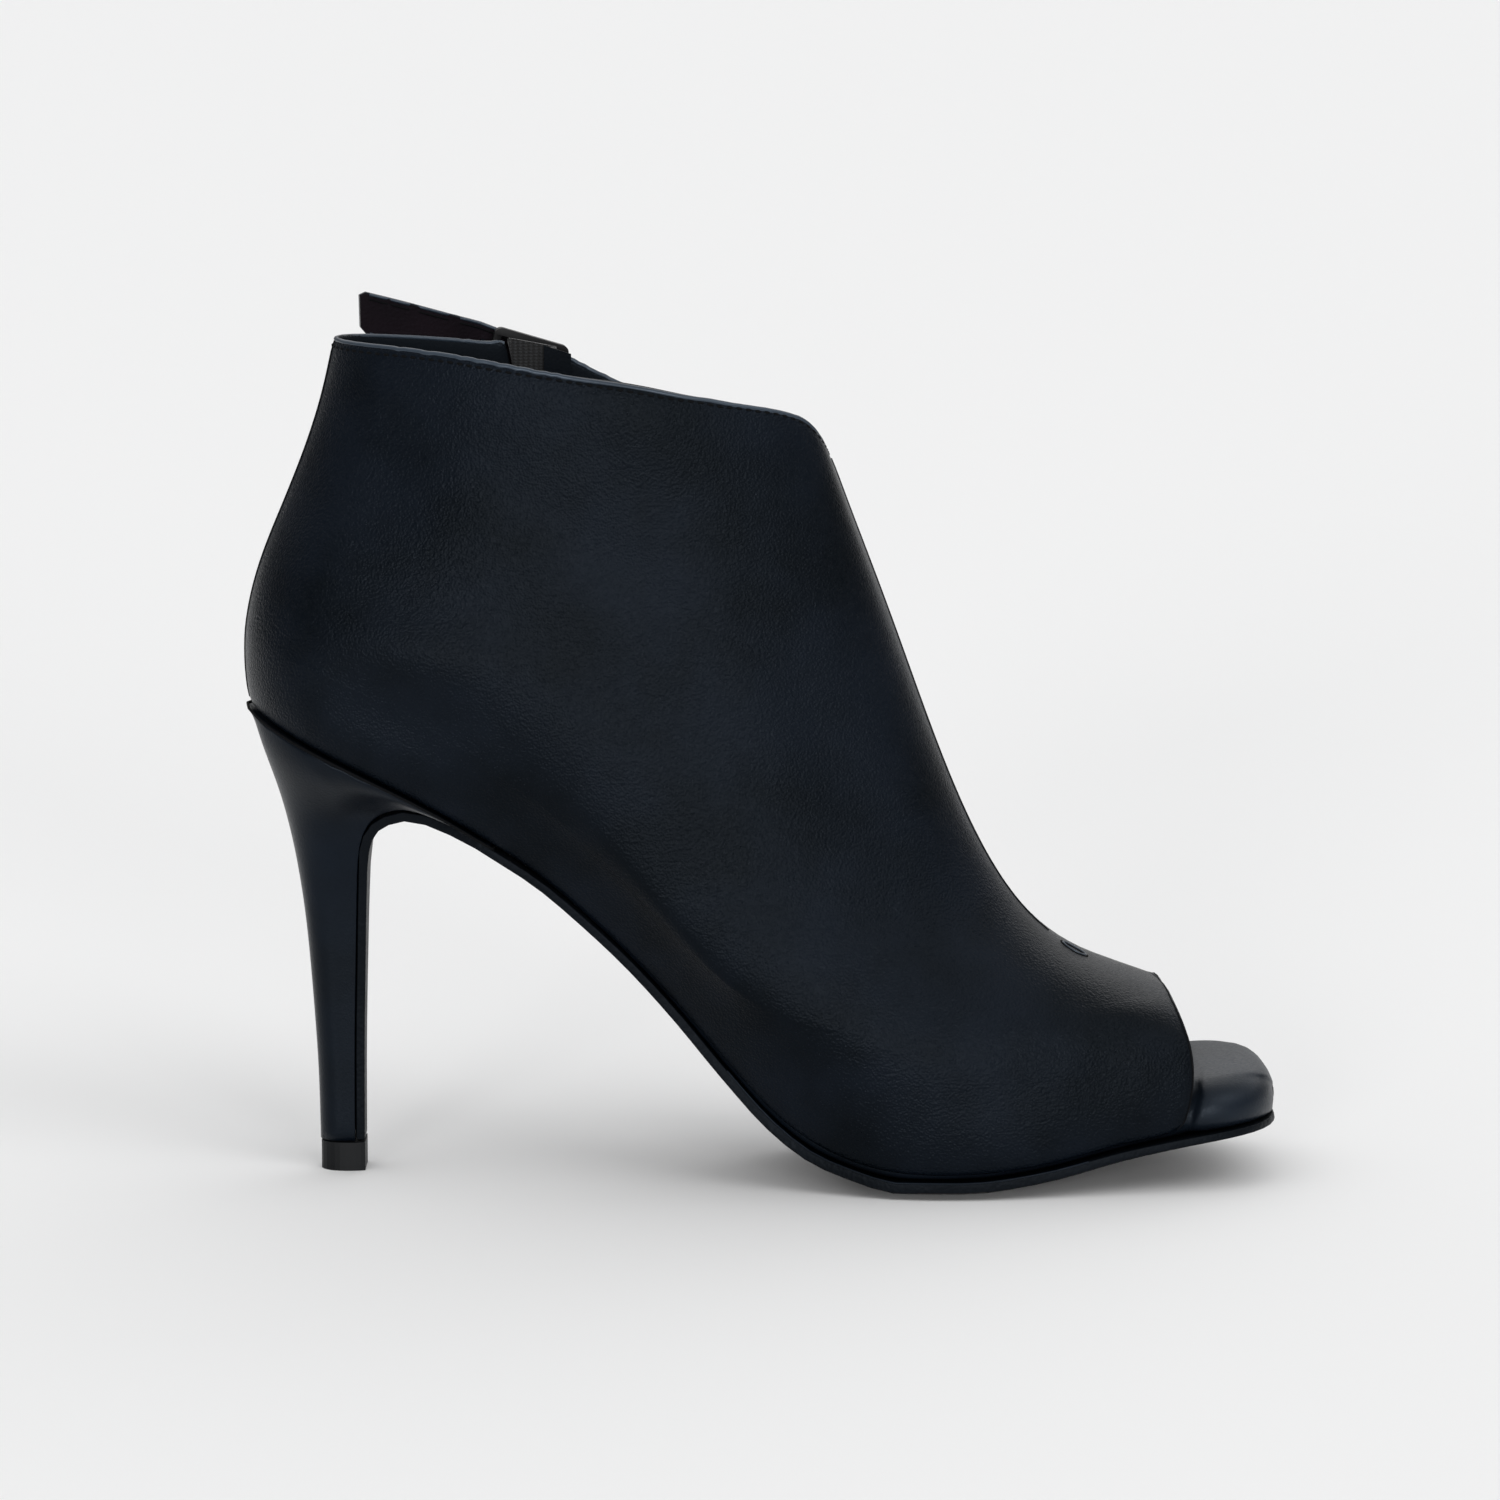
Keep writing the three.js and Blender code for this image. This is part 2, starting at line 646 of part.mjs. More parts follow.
function toManifold(geometry) {
  const plain = geometry.clone();
  plain.deleteAttribute('normal');
  plain.deleteAttribute('uv');
  const merged = mergeVertices(plain, 1e-4);
  return new wasm.Manifold(new wasm.Mesh({
    numProp: 3,
    vertProperties: new Float32Array(merged.attributes.position.array),
    triVerts: new Uint32Array(merged.index.array),
  }));
}

function fromManifold(solid) {
  const mesh = solid.getMesh();
  return meshGeometry(Array.from(mesh.vertProperties), Array.from(mesh.triVerts));
}

// Straight prism across the shoe, from an outline in the side view
function sidePrism(points, fromY, toY) {
  const shape = new THREE.Shape(points.map(([x, z]) => new THREE.Vector2(x, z)));
  const prism = new THREE.ExtrudeGeometry(shape, { depth: toY - fromY, bevelEnabled: false });
  prism.rotateX(Math.PI / 2);
  prism.translate(0, toY, 0);
  return prism;
}

// Height of the inner side's topline at a place along the foot
const toplineSteps = 80;
const medialTopline = collarCurves.medial.getPoints(toplineSteps);
const toplineHeight = (x) => heightAlong(medialTopline, x);

// Outline of the slit in the side view, grown by a margin, from a height above the topline or,
// for the gusset, from just below it
const slitFootSteps = 8;
function slitOutline(margin, rise) {
  const footZ = toplineHeight(slitAhead) - slitLength;
  const footX = slitAhead + slitLean;
  const radius = slitFoot / 2 + margin;
  // Upper end of a straight edge, in line with it
  const edgeEnd = (x, footEnd) => {
    const height = toplineHeight(x);
    const share = rise / (height - footZ);
    return [x + (x - footEnd) * share, height + rise];
  };
  const points = [edgeEnd(slitAhead - margin, footX - radius)];
  for (let i = 0; i <= slitFootSteps; i += 1) {
    const angle = Math.PI + (Math.PI * i) / slitFootSteps;
    points.push([footX + radius * Math.cos(angle), footZ + radius * Math.sin(angle)]);
  }
  points.push(edgeEnd(slitAhead + slitWidth + margin, footX + radius));
  return points;
}

function upperGeometry() {
  const outer = outerFace();
  const slitCut = sidePrism(slitOutline(0, seatWidth), gap, ballWidth);
  return fromManifold(
    toManifold(wallGeometry(outer, offsetFace(outer, wall))).subtract(toManifold(slitCut)));
}

// Gusset: knit elastic between the slit's edges, in the middle of the upper's wall
function gussetGeometry() {
  const outer = outerFace();
  const depth = (wall - gussetThickness) / 2;
  const shell = wallGeometry(offsetFace(outer, depth), offsetFace(outer, wall - depth));
  const piece = sidePrism(slitOutline(-gap, -gussetDrop), gap, ballWidth);
  return fromManifold(toManifold(shell).intersect(toManifold(piece)));
}

// Place on the inner side's outer face that has a given place in the side view, and its normal,
// by Newton's method. Above the topline the face goes on straight up
const placeRounds = 12;
function medialPlace(x, z) {
  const height = Math.min(z, toplineHeight(x));
  const step = 0.002;
  const edge = 5 * step;
  let along = 0.5;
  let level = 0.9;
  let point;
  let acrossWay;
  let upWay;
  for (let i = 0; i < placeRounds; i += 1) {
    const ring = ringAt(level);
    point = ringPoint(ring, along, 'medial');
    acrossWay = ringPoint(ring, along + step, 'medial').sub(point).divideScalar(step);
    upWay = point.clone().sub(ringPoint(ringAt(level - step), along, 'medial')).divideScalar(step);
    const dx = x - point.x;
    const dz = height - point.z;
    const det = acrossWay.x * upWay.z - upWay.x * acrossWay.z;
    along = THREE.MathUtils.clamp(along + (dx * upWay.z - dz * upWay.x) / det, edge, 1 - edge);
    level = THREE.MathUtils.clamp(level + (dz * acrossWay.x - dx * acrossWay.z) / det, edge, 1);
  }
  const normal = upWay.cross(acrossWay).normalize();
  return { point: new THREE.Vector3(x, point.y, z), normal };
}

// A flat band lofted along rows of places: each has its middle, the way off the upper, and its
// width and thickness
const bandChamfer = 0.25;
function bandGeometry(rows) {
  const sections = rows.map((row, i) => {
    const before = rows[Math.max(0, i - 1)].middle;
    const after = rows[Math.min(rows.length - 1, i + 1)].middle;
    const travel = after.clone().sub(before).normalize();
    const level = row.normal.clone().cross(travel).normalize();
    const off = travel.clone().cross(level);
    const across = level.applyAxisAngle(off, -row.lean);
    const w = row.width / 2;
    const t = row.thickness / 2;
    const flatW = w - bandChamfer;
    const flatT = t - bandChamfer;
    const corners = [[-w, -flatT], [-flatW, -t], [flatW, -t], [w, -flatT],
      [w, flatT], [flatW, t], [-flatW, t], [-w, flatT]];
    return corners.map(([a, b]) => (
      row.middle.clone().addScaledVector(across, a).addScaledVector(off, b)));
  });
  return sectionLoft(sections.map((section) => [...section.slice(1), section[0]]));
}

// A band whose width keeps one direction while its route turns
function foldedBand(middles, across, width, thickness) {
  const sections = middles.map((middle, i) => {
    const before = middles[Math.max(0, i - 1)];
    const after = middles[Math.min(middles.length - 1, i + 1)];
    const travel = after.clone().sub(before).normalize();
    const off = travel.clone().cross(across).normalize();
    const w = width / 2;
    const t = thickness / 2;
    return [[-w, -t], [w, -t], [w, t], [-w, t]].map(([a, b]) => (
      middle.clone().addScaledVector(across, a).addScaledVector(off, b)));
  });
  return sectionLoft(sections);
}

// Strap: from its free tail to its sewn end. Each row says how far its middle lies above the
// topline, as a share of its width, and how far off the upper, as a share of the tail's flare
const strapRows = [
  { along: 0.00, above: 0.29, off: 1.00 },
  { along: 0.16, above: 0.04, off: 0.93 },
  { along: 0.26, above: -0.12, off: 0.93 },
  { along: 0.35, above: -0.27, off: 0.95 },
  { along: 0.40, above: -0.43, off: 0.84 },
  { along: 0.47, above: -0.64, off: 0.47 },
  { along: 0.54, above: -0.74, off: 0.180 },
  { along: 0.60, above: -0.83, off: 0.155 },
  { along: 0.76, above: -0.90, off: 0.150 },
  { along: 0.88, above: -1.00, off: 0.150 },
  { along: 1.00, above: -1.12, off: 0.150 },
];
const strapAbove = through(strapRows, 'along', 'above');
const strapOff = through(strapRows, 'along', 'off');
function strapPlace(along) {
  const x = strapTail + along * (strapSeam - strapTail);
  const root = Math.max(x, strapRoot);
  const rise = strapWidth * strapAbove(along);
  const { point, normal } = medialPlace(root, toplineHeight(root) + rise);
  const middle = new THREE.Vector3(
    x, point.y + ((root - x) * normal.x) / normal.y, toplineHeight(x) + rise);
  return { middle: middle.addScaledVector(normal, strapFlare * strapOff(along)), normal };
}
const strapSteps = 30;
const tailTaper = 0.78;         // width of the very end, where its corners are clipped
const tailLean = 18;            // degrees that its cut end leans from square, and where that fades
const leanFade = 0.15;
function strapRow(along, width) {
  const lean = THREE.MathUtils.degToRad(tailLean * Math.max(0, 1 - along / leanFade));
  return { ...strapPlace(along), lean, width, thickness: strapThickness };
}
function strapGeometry() {
  const places = Array.from({ length: strapSteps }, (_, i) => (i + 1) / strapSteps);
  return bandGeometry([
    strapRow(0, strapWidth * tailTaper),
    strapRow(0.5 / strapSteps, strapWidth),
    ...places.map((along) => strapRow(along, strapWidth)),
  ]);
}

// The buckle's two bars lie off the upper at either side of its middle: the rear one above the
// tab's lower leaf and under the strap, the front one over the strap
const buckleHeight = toplineHeight(buckleAhead) - buckleBelow;
const buckleSlope = THREE.MathUtils.degToRad(buckleTilt);
const barCorner = buckleBar * Math.SQRT1_2;
const tabSlack = { bar: 0.54, upper: 0.45 };
const tabTurn = barCorner + tabSlack.bar + tabThickness / 2;
const leafOff = tabSlack.upper + tabThickness / 2;
const rearBarOff = leafOff + tabTurn;
const barReach = (buckleLength - buckleBar) / 2;
const frontAhead = buckleAhead + barReach * Math.cos(buckleSlope);
const frontShare = (frontAhead - strapTail) / (strapSeam - strapTail);
const frontBarOff = strapFlare * strapOff(frontShare) + strapThickness / 2 + buckleRoom + buckleBar / 2;
function bucklePlace(shift, off) {
  const { point, normal } = medialPlace(
    buckleAhead + shift * Math.cos(buckleSlope), buckleHeight - shift * Math.sin(buckleSlope));
  return point.addScaledVector(normal, off);
}
const rearBar = bucklePlace(-barReach, rearBarOff);
const frontBar = bucklePlace(barReach, frontBarOff);
const buckleTravel = frontBar.clone().sub(rearBar).normalize();
const buckleAcross = medialPlace(buckleAhead, buckleHeight).normal.cross(buckleTravel).normalize();

// Buckle: a plain rectangular frame with rounded corners
function roundedFrame(path, length, width, radius) {
  const x = length / 2 - radius;
  const y = width / 2 - radius;
  path.absarc(x, y, radius, 0, Math.PI / 2, false);
  path.absarc(-x, y, radius, Math.PI / 2, Math.PI, false);
  path.absarc(-x, -y, radius, Math.PI, 1.5 * Math.PI, false);
  path.absarc(x, -y, radius, 1.5 * Math.PI, 2 * Math.PI, false);
  path.closePath();
  return path;
}
function buckleGeometry() {
  const width = strapWidth + 2 * (buckleRoom + buckleBar);
  const shape = roundedFrame(new THREE.Shape(), buckleLength, width, buckleBar);
  shape.holes.push(roundedFrame(
    new THREE.Path(), buckleLength - 2 * buckleBar, width - 2 * buckleBar, buckleBar / 3));
  const frame = new THREE.ExtrudeGeometry(shape, {
    depth: buckleBar, bevelEnabled: false, curveSegments: 4 });
  frame.translate(0, 0, -buckleBar / 2);
  const off = buckleTravel.clone().cross(buckleAcross);
  frame.applyMatrix4(new THREE.Matrix4()
    .makeBasis(buckleTravel, buckleAcross, off)
    .setPosition(rearBar.clone().lerp(frontBar, 0.5)));
  return frame;
}

// Tab: a short band sewn to the upper behind the slit, turned round the buckle's rear bar
const tabSteps = { leaf: 6, turn: 8 };
const tabReturn = 0.15;         // length of its folded end, as a share of its length
function tabGeometry() {
  const middles = [];
  const slope = THREE.MathUtils.degToRad(tabTilt);
  for (let i = 0; i <= tabSteps.leaf; i += 1) {
    const back = tabLength * (1 - i / tabSteps.leaf);
    const { point, normal } = medialPlace(
      buckleAhead - barReach * Math.cos(buckleSlope) - back * Math.cos(slope),
      buckleHeight + barReach * Math.sin(buckleSlope) + back * Math.sin(slope));
    middles.push(point.addScaledVector(normal, leafOff));
  }
  const off = buckleTravel.clone().cross(buckleAcross);
  for (let i = 1; i <= tabSteps.turn; i += 1) {
    const angle = (Math.PI * i) / tabSteps.turn - Math.PI / 2;
    middles.push(rearBar.clone()
      .addScaledVector(buckleTravel, tabTurn * Math.cos(angle))
      .addScaledVector(off, tabTurn * Math.sin(angle)));
  }
  middles.push(rearBar.clone()
    .addScaledVector(buckleTravel, -tabReturn * tabLength)
    .addScaledVector(off, tabTurn));
  return foldedBand(middles, buckleAcross, tabWidth, tabThickness);
}

// Half-width of the outsole at a station: the outline as far as the seat, then narrowing rows
// round the fillet and down the front of the heel
const neckRows = [...archRows, ...breastRows].filter((row) => row.halfWidth);
const neckPoints = solePoints.slice(-neckRows.length);
function nearestShare(point) {
  let best = soleStations[0];
  for (const station of soleStations) {
    if (station.place.distanceTo(point) < best.place.distanceTo(point)) best = station;
  }
  return best.share;
}
const seatFrontShare = nearestShare(new THREE.Vector3(seatFront, 0, soleTopHeight(seatFront)));
const neckCurves = {};
for (const side of ['lateral', 'medial']) {
  const rows = neckRows.map((row, i) => (
    { share: nearestShare(neckPoints[i]), reach: (row.halfWidth * breastWidth) / 2 }));
  rows.unshift({ share: seatFrontShare, reach: soleReach(seatFront, side) });
  neckCurves[side] = through(rows, 'share', 'reach');
}
function stationReach(station, side) {
  if (station.share < seatFrontShare) return soleReach(station.place.x, side);
  return neckCurves[side](station.share);
}

// Draws evenly spaced shares of the sole line closer together round the fillet of the heel
const fillet = nearestShare(neckPoints[neckPoints.length - breastRows.length]);
const crowding = { reach: 0.07, pull: 0.035 };
function crowdAtTurn(share) {
  const away = (share - fillet) / crowding.reach;
  return share - crowding.pull * away * Math.exp(-away * away);
}

// Outsole: one strip of leather from the toe, under the arch and down the front of the heel
const soleSteps = 56;
const toeSteps = 7;
const acrossSteps = 6;
const tipShare = 0.0012;        // the first row lies just behind the tip, where the strip has a width
const cornerShare = 0.05;       // part of the strip that the toe's corners take up
function outsoleGeometry() {
  const shares = [];
  for (let j = 0; j < toeSteps; j += 1) {
    const eased = 1 - Math.cos((Math.PI / 2) * (j / toeSteps));
    shares.push(tipShare + (cornerShare - tipShare) * eased);
  }
  for (let j = 0; j <= soleSteps; j += 1) {
    shares.push(crowdAtTurn(cornerShare + (1 - cornerShare) * (j / soleSteps)));
  }
  const rows = [];
  for (const share of shares) {
    const station = soleStation(share);
    const lateral = stationReach(station, 'lateral');
    const medial = stationReach(station, 'medial');
    const row = [];
    for (let k = 0; k <= acrossSteps; k += 1) {
      const across = (2 * k) / acrossSteps - 1;
      const y = across < 0 ? across * lateral : across * medial;
      const lift = station.share < turnShare ? camberAt(station.place.x, y) : 0;
      row.push(station.place.clone().add(new THREE.Vector3(0, y, lift)));
    }
    const top = [...row].reverse().map((point) => (
      point.clone().addScaledVector(station.inward, station.thickness)));
    rows.push([...row, ...top]);
  }
  return sectionLoft(rows.reverse());
}

// Heel: back of the block from the top piece to the seat, as shares of the seat's height, how far
// it lies behind the heel tip's middle as shares of the top piece's depth, and its half-width as
// shares of half the tip's width
const heelRows = [
  { rise: 0.00, behind: 0.530, halfWidth: 1.00 },
  { rise: 0.16, behind: 0.565, halfWidth: 1.02 },
  { rise: 0.31, behind: 0.650, halfWidth: 1.10 },
  { rise: 0.48, behind: 0.780, halfWidth: 1.26 },
  { rise: 0.58, behind: 0.900, halfWidth: 1.50 },
  { rise: 0.69, behind: 1.100, halfWidth: 2.10 },
  { rise: 0.80, behind: 1.405, halfWidth: 3.00 },
  { rise: 0.90, behind: 1.750, halfWidth: 3.95 },
  { rise: 1.00, behind: 2.000, halfWidth: 4.50 },
];
const heelFoot = topPieceHeight + gap;
const heelTop = floorHeight(seatBack);
const heelBack = new THREE.CatmullRomCurve3(heelRows.map((row) => new THREE.Vector3(
  -tipDepth * row.behind, 0, heelFoot + row.rise * (heelTop - heelFoot))), false, 'centripetal');
const heelWidth = through(heelRows, 'rise', 'halfWidth');
const heelRings = 26;
const heelSideSteps = 13;
const heelFrontSteps = 2;
const heelOverhang = 0.5;       // how far the heel's cover stands out beside the sole on its front
const heelRound = 1.3;          // length over which its back rounds, as a share of its half-width
const seatBlend = { start: 0.72, power: 8 };
const sideFlare = 0.3;          // share of its depth from which the sides turn to the front's width
const heelStart = 0.001;        // its front ends just short of the sole's seat

function heelRing(level) {
  const end = seatFrontShare + heelStart;
  const station = soleStation(crowdAtTurn(1 + (end - 1) * level));
  const front = station.place.clone().addScaledVector(station.inward, station.thickness + gap);
  if (level === 0) front.z = heelFoot;
  const back = heelBack.getPointAt(level);
  const span = back.distanceTo(front);
  const rise = (back.z - heelFoot) / (heelTop - heelFoot);
  const widest = (heelWidth(rise) * tipWidth) / 2;
  const seatShare = THREE.MathUtils.smoothstep(level, seatBlend.start, 1);
  const half = { lateral: [], medial: [] };
  for (const side of ['lateral', 'medial']) {
    const narrow = stationReach(station, side) + heelOverhang * (1 - level);
    for (let i = 0; i <= heelSideSteps; i += 1) {
      const along = (1 - Math.cos(Math.PI * (i / heelSideSteps))) / 2;
      const point = back.clone().lerp(front, along);
      const topHeight = floorHeight(Math.min(point.x, seatFront));
      point.z += (topHeight - point.z) * level ** seatBlend.power;
      const taper = THREE.MathUtils.smoothstep(along, sideFlare, 1);
      const plain = (widest * (1 - taper) + narrow * taper)
        * roundedEnd(along * span, heelRound * widest, seatPower);
      const seat = Math.min(soleReach(point.x, side), outlineReach(point.x, side));
      point.y = (1 - seatShare) * plain + seatShare * seat;
      if (i === 0) point.y = 0;
      if (side === 'lateral') point.y *= -1;
      half[side].push(point);
    }
  }
  const row = [...half.lateral];
  const left = half.lateral[heelSideSteps];
  const right = half.medial[heelSideSteps];
  for (let i = 1; i < heelFrontSteps; i += 1) row.push(left.clone().lerp(right, i / heelFrontSteps));
  row.push(...half.medial.slice(1).reverse());
  return row;
}

function heelGeometry() {
  const rows = [];
  for (let j = 0; j <= heelRings; j += 1) rows.push(heelRing(j / heelRings));
  return loftGeometry(rows);
}

// Top piece: the D-shaped block that the heel stands on. Its outline from above, from the front
// corner to the back, as shares of the tip's depth from the middle and of half its width
const topPieceRows = {
  front: { ahead: 0.50, beside: 0.86 },
  frontPull: { ahead: 0.20, beside: 1.06 },
  rearPull: { ahead: -0.38, beside: 1.10 },
  rear: { ahead: -0.50, beside: 0.28 },
};
const topPieceSteps = 10;
function topPieceGeometry() {
  const along = (row) => row.ahead * tipDepth - (row.ahead > 0 ? topPieceSetback : 0);
  const side = tipWidth / 2;
  const { front, frontPull, rearPull, rear } = topPieceRows;
  const shape = new THREE.Shape();
  shape.moveTo(along(front), -side * front.beside);
  shape.lineTo(along(front), side * front.beside);
  shape.bezierCurveTo(along(frontPull), side * frontPull.beside,
    along(rearPull), side * rearPull.beside, along(rear), side * rear.beside);
  shape.lineTo(along(rear), -side * rear.beside);
  shape.bezierCurveTo(along(rearPull), -side * rearPull.beside,
    along(frontPull), -side * frontPull.beside, along(front), -side * front.beside);
  return new THREE.ExtrudeGeometry(shape, {
    depth: topPieceHeight, bevelEnabled: false, curveSegments: topPieceSteps });
}

// Insole: padded board wrapped in leather. Its section, as shares of the half-width and the
// thickness, with the edges set in by shares of the thickness
const insoleSection = [
  { across: -1.00, inset: 0.20, rise: 0.00 },
  { across: -0.68, inset: 0.00, rise: 0.00 },
  { across: -0.36, inset: 0.00, rise: 0.00 },
  { across: 0.36, inset: 0.00, rise: 0.00 },
  { across: 0.68, inset: 0.00, rise: 0.00 },
  { across: 1.00, inset: 0.20, rise: 0.00 },
  { across: 1.00, inset: 0.02, rise: 0.20 },
  { across: 1.00, inset: 0.00, rise: 0.50 },
  { across: 1.00, inset: 0.20, rise: 0.80 },
  { across: 1.00, inset: 0.62, rise: 0.98 },
  { across: 0.66, inset: 0.00, rise: 1.07 },
  { across: 0.30, inset: 0.00, rise: 1.12 },
  { across: -0.30, inset: 0.00, rise: 1.12 },
  { across: -0.66, inset: 0.00, rise: 1.07 },
  { across: -1.00, inset: 0.62, rise: 0.98 },
  { across: -1.00, inset: 0.20, rise: 0.80 },
  { across: -1.00, inset: 0.00, rise: 0.50 },
  { across: -1.00, inset: 0.02, rise: 0.20 },
];
const insoleRows = [
  { along: 0.00, share: 0 },
  { along: 0.45, share: 0 },
  { along: 0.70, share: 0.35 },
  { along: 0.85, share: 1 },
  { along: 1.00, share: 1 },
];
const insoleCurve = through(insoleRows, 'along', 'share');
const insoleEdge = 0.2;         // how far the insole's edge lies inside the sole's at the toe
const insoleTipRound = 9;       // length over which its top rounds down at the tip
const insoleSteps = 34;
const insoleTipPower = 2.4;
const insoleEdgeRise = 0.3;     // the section above this share of its thickness rounds down there
const insoleBackStart = 1.5;    // its first row lies this far ahead of its rounded back

// The section table starts at the outer edge of the bottom and goes round; the loft's ends pair
// its first half with its second half backwards
function sectionOrder(row) {
  return [...row.slice(-2), ...row.slice(0, -2)];
}

function insoleRow(x, inset) {
  const thickness = insoleInside + (insoleToe - insoleInside) * insoleCurve((x - seatBack) / soleLength);
  const tip = roundedEnd(toeTip - x + insoleEdge, insoleTipRound, insoleTipPower);
  return insoleSection.map((row) => {
    const side = row.across < 0 ? 'lateral' : 'medial';
    const reach = soleReach(x, side, inset) - row.inset * thickness;
    const y = row.across * reach;
    const bottom = floorHeight(x) + camberAt(x, y) + gap;
    const rounding = row.rise > insoleEdgeRise ? tip : 1;
    return new THREE.Vector3(x, y, bottom + row.rise * thickness * rounding);
  });
}

function insoleGeometry() {
  const inside = wall + 3 * gap;
  const start = seatBack + inside + insoleBackStart;
  const step = openingFront + gap;
  // Its edges widen just ahead of the toe opening's edge and follow that up
  const alongOpening = (row, ahead) => row.map((point, i) => (
    Math.abs(insoleSection[i].across) < 1 ? point
      : point.setX(Math.min(point.x, openingPlace(point.y, point.z) + ahead))));
  const rows = [];
  for (let i = 0; i <= insoleSteps; i += 1) {
    rows.push(insoleRow(start + (step - start) * (i / insoleSteps), inside));
  }
  alongOpening(rows[insoleSteps], gap);
  const toeStart = step + gap;
  const tip = toeTip - insoleEdge;
  for (let i = 0; i <= toeSteps; i += 1) {
    const share = Math.sin((Math.PI / 2) * (i / toeSteps));
    rows.push(insoleRow(toeStart + (tip - toeStart) * share, insoleEdge));
  }
  alongOpening(rows[insoleSteps + 1], 2 * gap);
  return sectionLoft(rows.map((row) => sectionOrder(row)));
}

function material(colour, roughness, metalness = 0) {
  return new THREE.MeshStandardMaterial({ color: colour, roughness, metalness });
}

const shoe = new THREE.Group();
function addPiece(name, geometry, finish) {
  const mesh = new THREE.Mesh(geometry, finish);
  mesh.name = name;
  shoe.add(mesh);
}

addPiece('outsole', outsoleGeometry(), material('#2a2421', 0.6));
addPiece('heel', heelGeometry(), material('#1b2026', 0.45));
addPiece('top_piece', topPieceGeometry(), material('#141619', 0.5));
addPiece('insole', insoleGeometry(), material('#1d2228', 0.4));
addPiece('upper', upperGeometry(), material('#1b2026', 0.45));
addPiece('gusset', gussetGeometry(), material('#15171a', 0.85));
addPiece('strap', strapGeometry(), material('#1b2026', 0.45));
addPiece('buckle', buckleGeometry(), material('#101114', 0.3, 0.8));
addPiece('buckle_tab', tabGeometry(), material('#1b2026', 0.45));

export default shoe;
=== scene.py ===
"""A peep toe ankle bootie on a covered stiletto heel: its looks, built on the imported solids."""
import math

import bmesh
import bpy
from mathutils import Matrix, Vector
from mathutils.bvhtree import BVHTree


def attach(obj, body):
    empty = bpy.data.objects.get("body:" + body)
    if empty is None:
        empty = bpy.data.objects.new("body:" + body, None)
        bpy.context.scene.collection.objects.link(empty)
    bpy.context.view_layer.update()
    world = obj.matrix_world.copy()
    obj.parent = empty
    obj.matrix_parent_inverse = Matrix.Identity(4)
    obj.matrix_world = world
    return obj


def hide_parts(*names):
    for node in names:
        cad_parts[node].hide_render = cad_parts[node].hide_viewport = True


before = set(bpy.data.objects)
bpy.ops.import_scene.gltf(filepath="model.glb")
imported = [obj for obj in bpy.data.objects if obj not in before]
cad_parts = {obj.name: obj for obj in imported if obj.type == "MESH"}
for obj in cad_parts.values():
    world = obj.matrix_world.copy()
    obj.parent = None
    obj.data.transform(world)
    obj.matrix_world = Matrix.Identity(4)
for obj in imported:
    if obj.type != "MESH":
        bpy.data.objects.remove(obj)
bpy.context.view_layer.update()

# Camera: square to the shoe's outer side, a little above it and looking down on it, and so far
# away, with a long lens, that the whole shoe fills the frame
aim = Vector((0.0852, 0.0, 0.0886))
camera_distance = 1.400
camera_pitch = math.radians(8.5)
camera_data = bpy.data.cameras.new("camera")
camera_data.lens = 160.9
camera_data.sensor_width = 36
camera = bpy.data.objects.new("camera", camera_data)
bpy.context.collection.objects.link(camera)
camera.location = aim + camera_distance * Vector(
    (0, -math.cos(camera_pitch), math.sin(camera_pitch)))
camera.rotation_euler = (math.pi / 2 - camera_pitch, 0, 0)
bpy.context.scene.camera = camera
bpy.context.scene.view_settings.view_transform = "Standard"


# Studio: a wide white paper floor that runs far back, under an overcast sky, with large soft lamps
# from above, from behind and from the toe, and two smaller low ones in front
def linear(code):
    """A colour written as an sRGB hex code, as the linear values that a shader takes."""
    parts = [int(code[i:i + 2], 16) / 255 for i in (1, 3, 5)]
    return [p / 12.92 if p <= 0.04045 else ((p + 0.055) / 1.055) ** 2.4 for p in parts] + [1]


def add_node(material, kind, settings=None, **links):
    """Adds one node: settings are its own fields or input values, and links are outputs to join to
    its inputs, which are given by name or as in0, in1 and so on."""
    node = material.node_tree.nodes.new(kind)
    for name, value in (settings or {}).items():
        if hasattr(node, name):
            setattr(node, name, value)
        else:
            node.inputs[name].default_value = value
    for name, output in links.items():
        numbered = name.startswith("in") and name[2:].isdigit()
        key = int(name[2:]) if numbered else name.replace("_", " ")
        material.node_tree.links.new(output, node.inputs[key])
    return node


def new_material(name):
    """A node material and its principled shader, joined to the output."""
    material = bpy.data.materials.new(name)
    material.use_nodes = True
    shader = material.node_tree.nodes["Principled BSDF"]
    return material, shader


floor_size = 40
bpy.ops.object.select_all(action="DESELECT")
bpy.ops.mesh.primitive_plane_add(size=floor_size, location=(0, 8, 0))
floor = bpy.context.object
floor.name = "floor"
# Uncoated white paper: flat and even, with no sheen of its own
floor_paper, shader = new_material("white_paper_floor")
shader.inputs["Base Color"].default_value = linear("#f0f0f0")
shader.inputs["Roughness"].default_value = 0.95
shader.inputs["Specular IOR Level"].default_value = 0.1
floor.data.materials.append(floor_paper)

world = bpy.data.worlds.new("studio_sky")
world.use_nodes = True
world.node_tree.nodes["Background"].inputs["Color"].default_value = linear("#f8f9fb")
world.node_tree.nodes["Background"].inputs["Strength"].default_value = 0.16
bpy.context.scene.world = world

